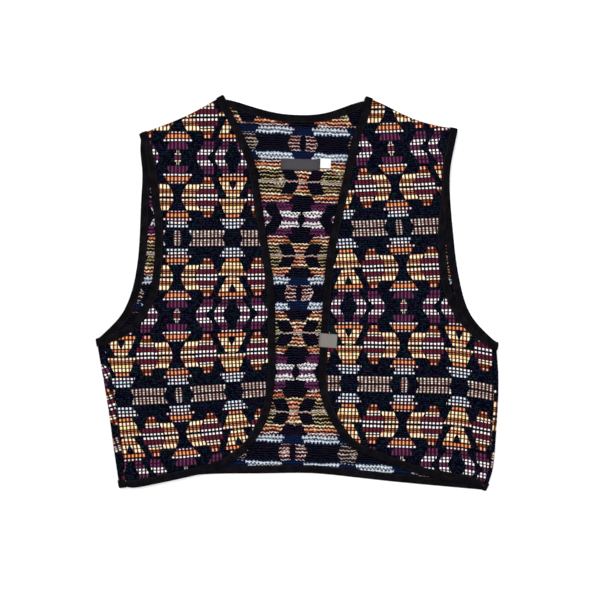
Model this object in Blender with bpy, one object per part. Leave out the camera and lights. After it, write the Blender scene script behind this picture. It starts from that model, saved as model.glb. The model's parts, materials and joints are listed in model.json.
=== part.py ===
"""Cropped open vest of heavy woven cloth, laid flat on its back.

Lengths are in millimetres and the meshes are written in metres, with +Z up.
The neck points to +Y and the two fronts lie on top of the back. Right and left
are the wearer's, so the right front is on the -X side.

The back turns over a soft fold at each side and meets the fronts at the side
seams on top. The fronts turn over a soft fold at each shoulder and meet the
back at the shoulder seams underneath. Every other edge is held in a binding.
"""

import math
from collections import namedtuple

import bpy
from mathutils import Vector, geometry

MM = 0.001

# Cloth and binding
CLOTH_THICKNESS = 1.6
BINDING_WIDTH = 10.0
BINDING_WALL = 1.0
SEAM_GAP = 0.3
LAYER_GAP = 0.5
CLOTH_SET_BACK = 1.8
FOLD_RADIUS = 2.7

CLOTH_HALF = CLOTH_THICKNESS / 2
BINDING_MIDDLE = CLOTH_HALF + SEAM_GAP + BINDING_WALL / 2
BOUND_HALF = BINDING_MIDDLE + BINDING_WALL / 2
BAND = BINDING_WIDTH + 1.0

# Round nose of a binding: where its flat sides end, and the half height of its front
BINDING_NOSE_DEPTH = 1.3
BINDING_NOSE_HALF = 0.7
BINDING_END_CLEARANCE = 0.6

# How far the cloth takes to settle beside a binding, and beside a fold
BACK_RAMP = 40.0
FRONT_RAMP = 30.0
OVER_PLATEAU = 14.0
OVER_RAMP = 45.0
FOLD_REACH = 38.0

# Seams: how far each one lies from the fold that hides it
SHOULDER_SEAM_IN = 2.0
SIDE_SEAM_IN = {"right": 6.0, "left": 2.0}

# Mesh spacing
LINE_STEP = 6.0
SPAN_PARTS = 16
EDGE_STEP = 14.0
FRONT_SPACING = 16.0
BACK_SPACING = 22.0
ROW_CLEARANCE = 6.0
CLEAR_SHARE = 0.6
FOLD_TURNS = (45.0, 90.0, 135.0, 180.0)

# Labels: width, height, centre x, centre y, turn in degrees
Label = namedtuple("Label", "width height x y turn")
NECK_LABEL = Label(47.0, 13.0, 3.8, 153.8, -1.6)
SIZE_LABEL = Label(12.4, 11.6, 34.0, 155.0, -1.6)
LABEL_THICKNESS = 1.0
LABEL_COLUMNS = 4
LABEL_ROWS = 2

# Tab that is folded over a bound edge: its nose stands just outside the edge, and
# behind the binding it comes down to the cloth
TAB_DEPTH = 20.0
TAB_HEIGHT = 16.4
TAB_CENTRE_Y = -56.8
TAB_ROWS = 3
TAB_SLOPE = 4.0
TAB_SLOPE_LIFT = 0.5
TAB_NOSE_TOP = 1.0
TAB_NOSE_BOTTOM = -0.8

# Fold lines, each point as x, y. Shoulders run from the neck out, sides run down.
SHOULDER_FOLD = {
    "right": ((-86.5, 233.8), (-110.3, 219.8), (-139.2, 205.4), (-188.0, 186.4)),
    "left": ((80.5, 232.0), (103.0, 222.1), (131.8, 207.7), (160.8, 198.0), (191.6, 192.4)),
}
SIDE_FOLD = {
    "right": ((-237.3, -54.0), (-231.9, -85.4), (-222.3, -143.0), (-217.2, -181.4), (-209.2, -233.4)),
    "left": ((237.2, -58.2), (234.8, -71.0), (237.4, -90.0), (237.6, -123.8),
             (235.2, -165.0), (232.8, -197.0), (229.8, -217.0), (222.0, -236.0)),
}

# Outer edges of the bound back, each point as x, y
BACK_NECK = ((-86.5, 233.8), (-54.2, 223.2), (-25.4, 215.6), (1.0, 213.0),
             (32.0, 214.8), (61.0, 224.4), (80.5, 232.0))
BACK_HEM = ((-209.2, -233.4), (-172.0, -228.0), (-130.0, -219.6), (-99.8, -217.0), (-44.6, -216.6),
            (17.8, -216.2), (75.4, -221.9), (113.6, -226.1), (171.0, -231.5), (222.0, -236.0))
BACK_ARMHOLE = {
    "right": ((-188.0, 186.4), (-188.4, 168.0), (-185.4, 145.0), (-187.4, 106.6), (-188.8, 68.2),
              (-191.0, 39.4), (-195.8, 10.6), (-201.8, -8.6), (-211.4, -27.8), (-237.3, -54.0)),
    "left": ((191.6, 192.4), (188.2, 173.8), (183.6, 150.0), (183.0, 120.0), (187.2, 68.2),
             (191.8, 29.8), (200.2, -8.6), (208.6, -27.8), (220.0, -42.0), (237.2, -58.2)),
}

# Outer edges of the bound fronts, each point as x, y. Openings run from the
# neck down, round the cutaway corner and along the hem to the side.
FRONT_ARMHOLE = {
    "right": ((-188.0, 186.4), (-179.0, 153.4), (-173.9, 111.4), (-170.3, 85.0), (-170.0, 57.4),
              (-171.8, 30.0), (-175.4, 5.0), (-182.5, -11.0), (-193.4, -29.0), (-203.5, -40.2),
              (-216.0, -46.2), (-237.3, -54.0)),
    "left": ((191.6, 192.4), (187.8, 173.8), (183.0, 150.0), (182.2, 124.6), (178.0, 81.4),
             (177.4, 59.8), (181.8, 13.0), (189.1, -8.6), (205.9, -35.3), (218.2, -46.3),
             (237.2, -58.2)),
}
FRONT_OPENING = {
    "right": ((-86.5, 233.8), (-80.4, 220.6), (-70.6, 202.8), (-51.5, 158.2), (-44.3, 121.0),
              (-34.1, 53.8), (-29.0, 20.2), (-26.5, -8.6), (-25.8, -62.6), (-25.6, -92.0),
              (-30.8, -135.2), (-39.4, -159.8), (-56.9, -186.2), (-76.7, -202.4), (-99.6, -212.3),
              (-126.4, -219.4), (-172.1, -229.2), (-194.0, -233.4), (-209.2, -233.4)),
    "left": ((80.5, 232.0), (77.6, 218.0), (66.5, 188.2), (55.0, 137.8), (41.8, 79.0),
             (35.4, 47.0), (30.4, -8.6), (29.0, -38.6), (24.6, -104.0), (27.5, -121.0),
             (34.9, -143.0), (51.7, -171.8), (67.0, -187.0), (90.7, -196.8), (113.6, -206.2),
             (144.2, -217.0), (174.8, -223.0), (204.0, -228.6), (222.0, -236.0)),
}

# Soft swells of the fronts: centre x, centre y, turn in degrees, half length, half width, height
Swell = namedtuple("Swell", "x y turn length width height")
SWELLS = (
    Swell(-140.0, 120.0, 70.0, 70.0, 22.0, 1.1),
    Swell(-95.0, 20.0, 84.0, 90.0, 24.0, 1.0),
    Swell(-165.0, -90.0, 35.0, 60.0, 26.0, 1.4),
    Swell(-95.0, -150.0, 12.0, 55.0, 20.0, 1.2),
    Swell(135.0, 110.0, 104.0, 75.0, 22.0, 1.2),
    Swell(95.0, 10.0, 95.0, 80.0, 25.0, 0.9),
    Swell(170.0, -110.0, 140.0, 62.0, 24.0, 1.5),
    Swell(105.0, -150.0, 168.0, 50.0, 20.0, 1.1),
)

# Wall of a binding in section, along its middle: distance in from the edge, height
BINDING_SECTION = (
    (BINDING_WIDTH, -BINDING_MIDDLE),
    (BINDING_NOSE_DEPTH, -BINDING_MIDDLE),
    (BINDING_WALL / 2, -BINDING_NOSE_HALF),
    (BINDING_WALL / 2, BINDING_NOSE_HALF),
    (BINDING_NOSE_DEPTH, BINDING_MIDDLE),
    (BINDING_WIDTH, BINDING_MIDDLE),
)

# Colours in linear light, and roughness
CLOTH_COLOUR = (0.030, 0.018, 0.025)
BINDING_COLOUR = (0.010, 0.009, 0.013)
GREY_LABEL_COLOUR = (0.10, 0.09, 0.11)
WHITE_LABEL_COLOUR = (0.75, 0.75, 0.74)
TAB_COLOUR = (0.23, 0.21, 0.20)
CLOTH_ROUGHNESS = 0.85

UP = Vector((0.0, 0.0, 1.0))


class Line:
    """A smooth line through a short table of points, measured along its length."""

    def __init__(self, points, step):
        fine = smooth_points(points, SPAN_PARTS)
        lengths = [0.0]
        for before, after in zip(fine, fine[1:]):
            lengths.append(lengths[-1] + (after - before).length)
        count = max(2, round(lengths[-1] / step))
        self.points = []
        for index in range(count + 1):
            self.points.append(point_along(fine, lengths, lengths[-1] * index / count))
        self.lengths = [0.0]
        for before, after in zip(self.points, self.points[1:]):
            self.lengths.append(self.lengths[-1] + (after - before).length)
        self.length = self.lengths[-1]

    def point(self, distance):
        return point_along(self.points, self.lengths, distance)

    def direction(self, distance):
        reach = 1.0
        ahead = self.point(min(distance + reach, self.length))
        behind = self.point(max(distance - reach, 0.0))
        return (ahead - behind).normalized()

    def distance_to(self, point):
        nearest = math.inf
        for start, end in zip(self.points, self.points[1:]):
            nearest = min(nearest, distance_to_segment(point, start, end))
        return nearest


def smooth_points(points, parts):
    """Catmull-Rom curve through the points, with each span cut in parts."""
    knots = [Vector(point) for point in points]
    knots.insert(0, knots[0] * 2 - knots[1])
    knots.append(knots[-1] * 2 - knots[-2])
    curve = []
    for index in range(1, len(knots) - 2):
        before, start, end, after = knots[index - 1:index + 3]
        span = (end - start).length
        leave = (end - before) * (span / max((end - before).length, span))
        arrive = (after - start) * (span / max((after - start).length, span))
        for part in range(parts):
            t = part / parts
            curve.append(start * (2 * t ** 3 - 3 * t ** 2 + 1) + leave * (t ** 3 - 2 * t ** 2 + t)
                         + end * (3 * t ** 2 - 2 * t ** 3) + arrive * (t ** 3 - t ** 2))
    curve.append(knots[-2])
    return curve


def point_along(points, lengths, distance):
    for index in range(1, len(points)):
        if distance <= lengths[index] or index == len(points) - 1:
            share = (distance - lengths[index - 1]) / (lengths[index] - lengths[index - 1])
            return points[index - 1].lerp(points[index], share)


def distance_to_segment(point, start, end):
    along = end - start
    share = (point - start).dot(along) / along.length_squared
    return (start + along * min(max(share, 0.0), 1.0) - point).length


def ease(distance, plateau, ramp):
    """One up to the plateau's end, then a smooth fall to nothing over the ramp."""
    share = min(max((distance - plateau) / ramp, 0.0), 1.0)
    return 1.0 - share * share * (3.0 - 2.0 * share)


class Fold:
    """A line over which cloth turns in a half circle, from one layer to the other."""

    def __init__(self, points, outward_hint, layers):
        self.line = Line(points, EDGE_STEP)
        self.hint = Vector(outward_hint)
        self.layers = layers
        first = BAND + ROW_CLEARANCE
        last = self.line.length - first
        self.rows = [CLOTH_SET_BACK, BAND]
        self.rows += [length for length in self.line.lengths[1:-1] if first < length < last]
        self.rows += [self.line.length - BAND, self.line.length - CLOTH_SET_BACK]

    def outward(self, along):
        direction = self.line.direction(along)
        across = Vector((direction.y, -direction.x))
        return across if across.dot(self.hint) > 0 else -across

    def run(self, at_start):
        """Way along the fold, into the cloth from one of its ends."""
        if at_start:
            return self.line.direction(0.0)
        return -self.line.direction(self.line.length)

    def flat(self, along, past):
        return self.line.point(along) + self.outward(along) * past

    def place(self, along, past, turns_up):
        """Place and normal of a point that lies past the fold line by this much cloth."""
        point = self.line.point(along)
        outward = self.outward(along)
        half_turn = math.pi * FOLD_RADIUS
        angle = min(past / FOLD_RADIUS, math.pi)
        flat = point + outward * FOLD_RADIUS * math.sin(angle) - outward * max(past - half_turn, 0.0)
        rise = FOLD_RADIUS * (1 - math.cos(angle))
        lean = -math.cos(angle)
        if not turns_up:
            rise = 2 * FOLD_RADIUS - rise
            lean = -lean
        height = self.layers.back_height(point) + rise
        if past > half_turn:
            height = self.layers.front_height(flat) if turns_up else self.layers.back_height(flat)
        normal = Vector((*(outward * math.sin(angle)), lean)).normalized()
        return Vector((*flat, height)), normal


class Layers:
    """Heights of the middle of the cloth, for the back and for one front on it."""

    def __init__(self, back_edges, front_edges, fold_lines):
        self.back_edges = back_edges
        self.front_edges = front_edges
        self.fold_lines = fold_lines

    def back_height(self, point):
        near = min(line.distance_to(point) for line in self.back_edges)
        return CLOTH_HALF + (BOUND_HALF - CLOTH_HALF) * ease(near, BAND, BACK_RAMP)

    def front_height(self, point):
        near_back = min(line.distance_to(point) for line in self.back_edges)
        near_own = min(line.distance_to(point) for line in self.front_edges)
        near_fold = min(line.distance_to(point) for line in self.fold_lines)
        height = 3 * CLOTH_HALF + LAYER_GAP + swell_height(point)
        height += 2 * (BOUND_HALF - CLOTH_HALF) * ease(near_back, OVER_PLATEAU, OVER_RAMP)
        height += (BOUND_HALF - CLOTH_HALF) * ease(near_own, BAND, FRONT_RAMP)
        folded = self.back_height(point) + 2 * FOLD_RADIUS
        return height + (folded - height) * ease(near_fold, 0.0, FOLD_REACH)


def swell_height(point):
    total = 0.0
    for swell in SWELLS:
        turn = math.radians(swell.turn)
        away = point - Vector((swell.x, swell.y))
        along = away.dot(Vector((math.cos(turn), math.sin(turn)))) / swell.length
        across = away.dot(Vector((-math.sin(turn), math.cos(turn)))) / swell.width
        total += swell.height * math.exp(-along * along - across * across)
    return total


Station = namedtuple("Station", "flat inward place normal")


def edge_stations(line, inside, height, normal, start, end):
    """Stations along a bound edge. Start and end give the fold they meet and a gap to it."""
    count = max(3, round(line.length / EDGE_STEP))
    stations = [end_station(start, height, normal)]
    for index in range(1, count):
        distance = line.length * index / count
        point = line.point(distance)
        direction = line.direction(distance)
        inward = Vector((direction.y, -direction.x)) * inside
        stations.append(Station(point, inward, Vector((*point, height(point))), normal))
    stations.append(end_station(end, height, normal))
    return stations


def end_station(end, height, normal):
    fold, at_start, gap = end
    along = 0.0 if at_start else fold.line.length
    point = fold.flat(along, -gap)
    return Station(point, fold.run(at_start), Vector((*point, height(point))), normal)


def fold_stations(fold, at_start, turns_up, last):
    """Stations of an edge that goes round a fold, up to a last distance past it."""
    along = 0.0 if at_start else fold.line.length
    stations = []
    for past in [math.radians(turn) * FOLD_RADIUS for turn in FOLD_TURNS] + last:
        place, normal = fold.place(along, past, turns_up)
        stations.append(Station(fold.flat(along, past), fold.run(at_start), place, normal))
    return stations


class Sheet:
    """The middle surface of one cloth piece: flat points, their places, and the lines kept."""

    def __init__(self):
        self.flats = []
        self.places = []
        self.loop = []
        self.kept = []

    def add(self, flat, place):
        self.flats.append(flat)
        self.places.append(place)
        return len(self.flats) - 1

    def keep(self, row):
        self.kept += list(zip(row, row[1:]))

    def edge_rows(self, stations, first, last):
        """Outer and inner row beside a bound edge, between the corner points that others made."""
        rows = []
        for distance, start, end in zip((CLOTH_SET_BACK, BAND), first, last):
            row = [start]
            for station in stations[1:-1]:
                flat = station.flat + station.inward * distance
                place = station.place + Vector((*station.inward, 0.0)) * distance
                row.append(self.add(flat, place))
            row.append(end)
            rows.append(row)
        self.keep(rows[1])
        return rows[0]

    def seam_row(self, fold, gap, height):
        row = []
        for along in fold.rows:
            flat = fold.flat(along, -gap)
            row.append(self.add(flat, Vector((*flat, height(flat)))))
        return row

    def flap(self, fold, turns_up, end):
        """Rows of points round a fold, one for each turn, and one at the flap's end."""
        rows = []
        turns = [math.radians(turn) * FOLD_RADIUS for turn in (0.0,) + FOLD_TURNS]
        for past in turns + [math.pi * FOLD_RADIUS + end]:
            row = []
            for along in fold.rows:
                place, _ = fold.place(along, past, turns_up)
                row.append(self.add(fold.flat(along, past), place))
            self.keep(row)
            rows.append(row)
        self.keep([row[1] for row in rows])
        self.keep([row[-2] for row in rows])
        return rows

    def fill(self, spacing, height, bound_lines, fold_lines):
        """Points inside the loop on a staggered grid, clear of the rows already there."""
        outline = [self.flats[index] for index in self.loop]
        low = Vector((min(point.x for point in outline), min(point.y for point in outline)))
        high = Vector((max(point.x for point in outline), max(point.y for point in outline)))
        row_step = spacing * math.sqrt(3) / 2
        clear = spacing * CLEAR_SHARE
        for row in range(int((high.y - low.y) / row_step) + 1):
            shift = spacing / 2 * (row % 2)
            for column in range(int((high.x - low.x) / spacing) + 1):
                point = low + Vector((column * spacing + shift, row * row_step))
                if not is_inside(point, outline):
                    continue
                if min(line.distance_to(point) for line in bound_lines) < BAND + clear:
                    continue
                if min(line.distance_to(point) for line in fold_lines) < clear:
                    continue
                if distance_to_loop(point, outline) < clear:
                    continue
                self.add(point, Vector((*point, height(point))))

    def mesh_data(self):
        """Places and triangles of the sheet, without the triangles beyond its outline."""
        rim = list(zip(self.loop, self.loop[1:] + self.loop[:1]))
        result = geometry.delaunay_2d_cdt(self.flats, self.kept + rim, [], 0, 0.001, True)
        flats, _, faces, sources = result[:4]
        outline = [self.flats[index] for index in self.loop]
        places = [self.places[sources[index][0]] for index in range(len(flats))]
        inner = []
        for face in faces:
            middle = sum((flats[index] for index in face), start=Vector((0.0, 0.0))) / len(face)
            if is_inside(middle, outline):
                inner.append(face)
        return places, inner


def is_inside(point, outline):
    inside = False
    for start, end in zip(outline, outline[1:] + outline[:1]):
        if (start.y > point.y) != (end.y > point.y):
            crossing = start.x + (end.x - start.x) * (point.y - start.y) / (end.y - start.y)
            if crossing > point.x:
                inside = not inside
    return inside


def distance_to_loop(point, outline):
    nearest = math.inf
    for start, end in zip(outline, outline[1:] + outline[:1]):
        nearest = min(nearest, distance_to_segment(point, start, end))
    return nearest


class Garment:
    """All lines, folds and edge stations of the vest."""

    def __init__(self):
        self.neck = Line(BACK_NECK, LINE_STEP)
        self.hem = Line(BACK_HEM, LINE_STEP)
        self.back_armhole = {side: Line(BACK_ARMHOLE[side], LINE_STEP) for side in BACK_ARMHOLE}
        self.front_armhole = {side: Line(FRONT_ARMHOLE[side], LINE_STEP) for side in FRONT_ARMHOLE}
        self.opening = {side: Line(FRONT_OPENING[side], LINE_STEP) for side in FRONT_OPENING}
        self.back_edges = [self.neck, self.hem, *self.back_armhole.values()]
        self.layers = {}
        self.shoulder = {}
        self.side = {}
        for side, outward in (("right", (-1.0, 0.0)), ("left", (1.0, 0.0))):
            folds = [Line(SHOULDER_FOLD[side], EDGE_STEP), Line(SIDE_FOLD[side], EDGE_STEP)]
            front_edges = [self.front_armhole[side], self.opening[side]]
            self.layers[side] = Layers(self.back_edges, front_edges, folds)
            self.shoulder[side] = Fold(SHOULDER_FOLD[side], (0.0, 1.0), self.layers[side])
            self.side[side] = Fold(SIDE_FOLD[side], outward, self.layers[side])
        self.back_height = self.layers["right"].back_height

    def back_neck_stations(self):
        gap = SHOULDER_SEAM_IN + SEAM_GAP
        start = (self.shoulder["right"], True, gap)
        end = (self.shoulder["left"], True, gap)
        return edge_stations(self.neck, 1, self.back_height, -UP, start, end)

    def back_armhole_stations(self, side):
        inside = -1 if side == "right" else 1
        start = (self.shoulder[side], False, SHOULDER_SEAM_IN + SEAM_GAP)
        end = (self.side[side], True, 0.0)
        line = self.back_armhole[side]
        return edge_stations(line, inside, self.back_height, -UP, start, end)

    def back_hem_stations(self):
        start = (self.side["right"], False, 0.0)
        end = (self.side["left"], False, 0.0)
        return edge_stations(self.hem, -1, self.back_height, -UP, start, end)

    def front_armhole_stations(self, side):
        inside = -1 if side == "right" else 1
        start = (self.shoulder[side], False, 0.0)
        end = (self.side[side], True, SIDE_SEAM_IN[side] + SEAM_GAP)
        height = self.layers[side].front_height
        return edge_stations(self.front_armhole[side], inside, height, UP, start, end)

    def opening_stations(self, side):
        inside = 1 if side == "right" else -1
        start = (self.shoulder[side], True, 0.0)
        end = (self.side[side], False, SIDE_SEAM_IN[side] + SEAM_GAP)
        height = self.layers[side].front_height
        return edge_stations(self.opening[side], inside, height, UP, start, end)

    def back_sheet(self):
        sheet = Sheet()
        gap = SHOULDER_SEAM_IN + SEAM_GAP
        seam = {side: sheet.seam_row(self.shoulder[side], gap, self.back_height) for side in self.side}
        flap = {side: sheet.flap(self.side[side], True, SIDE_SEAM_IN[side]) for side in self.side}
        armhole = {}
        for side in self.side:
            first = (seam[side][-1], seam[side][-2])
            last = (flap[side][0][0], flap[side][0][1])
            armhole[side] = sheet.edge_rows(self.back_armhole_stations(side), first, last)
        first = (flap["right"][0][-1], flap["right"][0][-2])
        last = (flap["left"][0][-1], flap["left"][0][-2])
        hem = sheet.edge_rows(self.back_hem_stations(), first, last)
        first = (seam["right"][0], seam["right"][1])
        last = (seam["left"][0], seam["left"][1])
        neck = sheet.edge_rows(self.back_neck_stations(), first, last)
        loop = seam["right"] + armhole["right"][1:-1] + flap_outline(flap["right"])
        loop += hem[1:-1] + flap_outline(flap["left"])[::-1]
        loop += armhole["left"][-2:0:-1] + seam["left"][::-1] + neck[-2:0:-1]
        sheet.loop = loop
        folds = [fold.line for fold in (*self.shoulder.values(), *self.side.values())]
        sheet.fill(BACK_SPACING, self.back_height, self.back_edges, folds)
        return sheet

    def front_sheet(self, side):
        sheet = Sheet()
        height = self.layers[side].front_height
        flap = sheet.flap(self.shoulder[side], False, SHOULDER_SEAM_IN)
        seam = sheet.seam_row(self.side[side], SIDE_SEAM_IN[side] + SEAM_GAP, height)
        first = (flap[0][-1], flap[0][-2])
        last = (seam[0], seam[1])
        armhole = sheet.edge_rows(self.front_armhole_stations(side), first, last)
        first = (flap[0][0], flap[0][1])
        last = (seam[-1], seam[-2])
        opening = sheet.edge_rows(self.opening_stations(side), first, last)
        sheet.loop = flap_outline(flap) + armhole[1:-1] + seam + opening[-2:0:-1]
        edges = [self.front_armhole[side], self.opening[side]]
        sheet.fill(FRONT_SPACING, height, edges, [self.shoulder[side].line])
        return sheet


def flap_outline(rows):
    """Outline of a flap, from one end of its fold line out, along, and back to the other."""
    out = [row[0] for row in rows]
    back = [row[-1] for row in rows]
    return out + rows[-1][1:-1] + back[::-1]


def add_material(name, colour, roughness):
    material = bpy.data.materials.new(name)
    material.use_nodes = True
    shader = material.node_tree.nodes["Principled BSDF"]
    shader.inputs["Base Color"].default_value = (*colour, 1.0)
    shader.inputs["Roughness"].default_value = roughness
    shader.inputs["Metallic"].default_value = 0.0
    return material


def add_wall(name, places, faces, thickness, colour):
    """One object with a closed wall round the given middle surface."""
    mesh = bpy.data.meshes.new(name)
    mesh.from_pydata([place * MM for place in places], [], faces)
    mesh.materials.append(add_material(name, colour, CLOTH_ROUGHNESS))
    mesh.shade_smooth()
    wall = bpy.data.objects.new(name, mesh)
    bpy.context.scene.collection.objects.link(wall)
    solidify = wall.modifiers.new("Wall", "SOLIDIFY")
    solidify.thickness = thickness * MM
    solidify.offset = 0.0


def strip_faces(row_count, width, closed):
    faces = []
    for row in range(row_count if closed else row_count - 1):
        start = row * width
        after = (row + 1) % row_count * width
        for column in range(width - 1):
            faces.append((start + column, start + column + 1, after + column + 1, after + column))
    return faces


def add_binding(name, stations, closed=False):
    places = []
    for station in stations:
        inward = Vector((*station.inward, 0.0))
        for distance, height in BINDING_SECTION:
            places.append(station.place + inward * distance + station.normal * height)
    faces = strip_faces(len(stations), len(BINDING_SECTION), closed)
    add_wall(name, places, faces, BINDING_WALL, BINDING_COLOUR)


def add_back_label(name, label, height, colour):
    """A flat label that lies on the inside of the back."""
    turn = math.radians(label.turn)
    across = Vector((math.cos(turn), math.sin(turn)))
    upward = Vector((-math.sin(turn), math.cos(turn)))
    lift = CLOTH_HALF + SEAM_GAP + LABEL_THICKNESS / 2
    places = []
    for row in range(LABEL_ROWS + 1):
        for column in range(LABEL_COLUMNS + 1):
            flat = Vector((label.x, label.y)) + across * label.width * (column / LABEL_COLUMNS - 0.5)
            flat += upward * label.height * (row / LABEL_ROWS - 0.5)
            places.append(Vector((*flat, height(flat) + lift)))
    faces = strip_faces(LABEL_ROWS + 1, LABEL_COLUMNS + 1, False)
    add_wall(name, places, faces, LABEL_THICKNESS, colour)


def add_edge_tab(garment):
    """A folded tab over the binding of the left front's opening."""
    line = garment.opening["left"]
    height = garment.layers["left"].front_height
    centre = min(line.lengths, key=lambda length: abs(line.point(length).y - TAB_CENTRE_Y))
    over_binding = BOUND_HALF + SEAM_GAP + LABEL_THICKNESS / 2
    over_cloth = CLOTH_HALF + SEAM_GAP + LABEL_THICKNESS / 2
    outside = SEAM_GAP + LABEL_THICKNESS / 2
    section = (
        (BINDING_WIDTH + TAB_SLOPE, over_cloth + TAB_SLOPE_LIFT),
        (BINDING_WIDTH, over_binding),
        (BINDING_NOSE_DEPTH, over_binding),
        (-outside, TAB_NOSE_TOP),
        (-outside, TAB_NOSE_BOTTOM),
    )
    places = []
    for row in range(TAB_ROWS):
        distance = centre + TAB_HEIGHT * (row / (TAB_ROWS - 1) - 0.5)
        edge = line.point(distance)
        direction = line.direction(distance)
        inward = Vector((-direction.y, direction.x))
        inner = edge + inward * TAB_DEPTH
        places.append(Vector((*inner, height(inner) + over_cloth)))
        for depth, rise in section:
            places.append(Vector((*(edge + inward * depth), height(edge) + rise)))
    faces = strip_faces(TAB_ROWS, len(section) + 1, False)
    add_wall("edge_tab", places, faces, LABEL_THICKNESS, TAB_COLOUR)


def shortened(stations, amount):
    """The stations with both ends drawn in along the edge, clear of the strips that they meet."""
    moved = list(stations)
    for end, beside in ((0, 1), (-1, -2)):
        step = (stations[beside].place - stations[end].place).normalized() * amount
        moved[end] = stations[end]._replace(place=stations[end].place + step)
    return moved


def add_bindings(garment):
    add_binding("neck_binding", shortened(garment.back_neck_stations(), BINDING_END_CLEARANCE))

    half_turn = math.pi * FOLD_RADIUS
    ends = {side: [half_turn + SIDE_SEAM_IN[side]] for side in SIDE_SEAM_IN}
    hem = fold_stations(garment.side["right"], False, True, ends["right"])[::-1]
    hem += garment.back_hem_stations()
    hem += fold_stations(garment.side["left"], False, True, ends["left"])
    add_binding("hem_binding", hem)

    for side in ("right", "left"):
        shoulder = garment.shoulder[side]
        opening = fold_stations(shoulder, True, False, [half_turn + SHOULDER_SEAM_IN])[::-1]
        opening += garment.opening_stations(side)
        add_binding("front_binding_" + side, opening)

        ring = garment.back_armhole_stations(side)
        ring += fold_stations(garment.side[side], True, True, [])
        ring += garment.front_armhole_stations(side)[::-1]
        ring += fold_stations(shoulder, False, False, [])
        add_binding("armhole_binding_" + side, ring, closed=True)


def centre_on_origin():
    """Move every mesh so that the garment's box stands centred over the origin."""
    points = []
    for item in bpy.context.scene.collection.objects:
        points += [item.matrix_world @ vertex.co for vertex in item.data.vertices]
    shift_x = -(min(point.x for point in points) + max(point.x for point in points)) / 2
    shift_y = -(min(point.y for point in points) + max(point.y for point in points)) / 2
    for item in bpy.context.scene.collection.objects:
        for vertex in item.data.vertices:
            vertex.co += Vector((shift_x, shift_y, 0.0))


def main():
    for item in list(bpy.data.objects):
        bpy.data.objects.remove(item)
    garment = Garment()
    add_wall("back", *garment.back_sheet().mesh_data(), CLOTH_THICKNESS, CLOTH_COLOUR)
    for side in ("right", "left"):
        places, faces = garment.front_sheet(side).mesh_data()
        add_wall("front_" + side, places, faces, CLOTH_THICKNESS, CLOTH_COLOUR)
    add_bindings(garment)
    add_back_label("neck_label", NECK_LABEL, garment.back_height, GREY_LABEL_COLOUR)
    add_back_label("size_label", SIZE_LABEL, garment.back_height, WHITE_LABEL_COLOUR)
    add_edge_tab(garment)
    centre_on_origin()


main()
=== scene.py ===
"""Looks of a cropped open vest in heavy jacquard, laid flat on its back.

Right and left are the wearer's, so the right front is on the -X side. Lengths
are in millimetres until a mesh is written, which is in metres like the frame.
"""

import json
import logging
import math
from collections.abc import Callable
from dataclasses import dataclass, field
from enum import Enum

import bmesh
import bpy
import numpy as np
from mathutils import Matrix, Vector, noise
from mathutils.bvhtree import BVHTree

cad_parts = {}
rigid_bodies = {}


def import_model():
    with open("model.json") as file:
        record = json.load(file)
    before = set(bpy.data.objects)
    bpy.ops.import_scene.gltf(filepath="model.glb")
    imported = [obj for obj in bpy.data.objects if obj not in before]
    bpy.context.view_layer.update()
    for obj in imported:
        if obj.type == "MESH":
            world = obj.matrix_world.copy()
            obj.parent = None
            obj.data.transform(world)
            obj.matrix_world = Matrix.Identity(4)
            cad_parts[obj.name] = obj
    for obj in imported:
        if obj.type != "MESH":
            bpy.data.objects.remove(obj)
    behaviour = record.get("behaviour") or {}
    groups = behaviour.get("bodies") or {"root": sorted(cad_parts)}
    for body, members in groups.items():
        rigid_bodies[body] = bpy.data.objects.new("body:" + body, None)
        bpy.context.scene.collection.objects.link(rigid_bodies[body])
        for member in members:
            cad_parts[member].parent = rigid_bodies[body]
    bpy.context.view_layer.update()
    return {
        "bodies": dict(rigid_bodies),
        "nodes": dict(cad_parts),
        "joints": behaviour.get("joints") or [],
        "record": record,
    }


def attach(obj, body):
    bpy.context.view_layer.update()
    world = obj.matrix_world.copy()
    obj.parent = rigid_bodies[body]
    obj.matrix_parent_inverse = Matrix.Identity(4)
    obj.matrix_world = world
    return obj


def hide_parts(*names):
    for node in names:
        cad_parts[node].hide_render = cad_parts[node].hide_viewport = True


LOG = logging.getLogger("vest")

MM = 0.001
TURN = 6.2832
WELD = 0.00002
SUBDIVISIONS = 2
BODY = "root"

Pair = tuple[float, float]
Table = tuple[Pair, ...]
Place = tuple[float, float, float]
Colour = tuple[float, float, float, float]
Socket = bpy.types.NodeSocket
Finish = bpy.types.Material


class Side(Enum):
    """The wearer's side, with the sign of its X."""

    RIGHT = -1
    LEFT = 1

    @property
    def word(self) -> str:
        """Return the side's word, as in the names of the frame's nodes."""
        return self.name.lower()


class Face(Enum):
    """The two sides of the woven cloth, as material slots of a panel."""

    FACE = 0
    REVERSE = 1


# Places in the palette, more than there are yarns to leave room at its end
YARN_COUNT = 16


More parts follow.
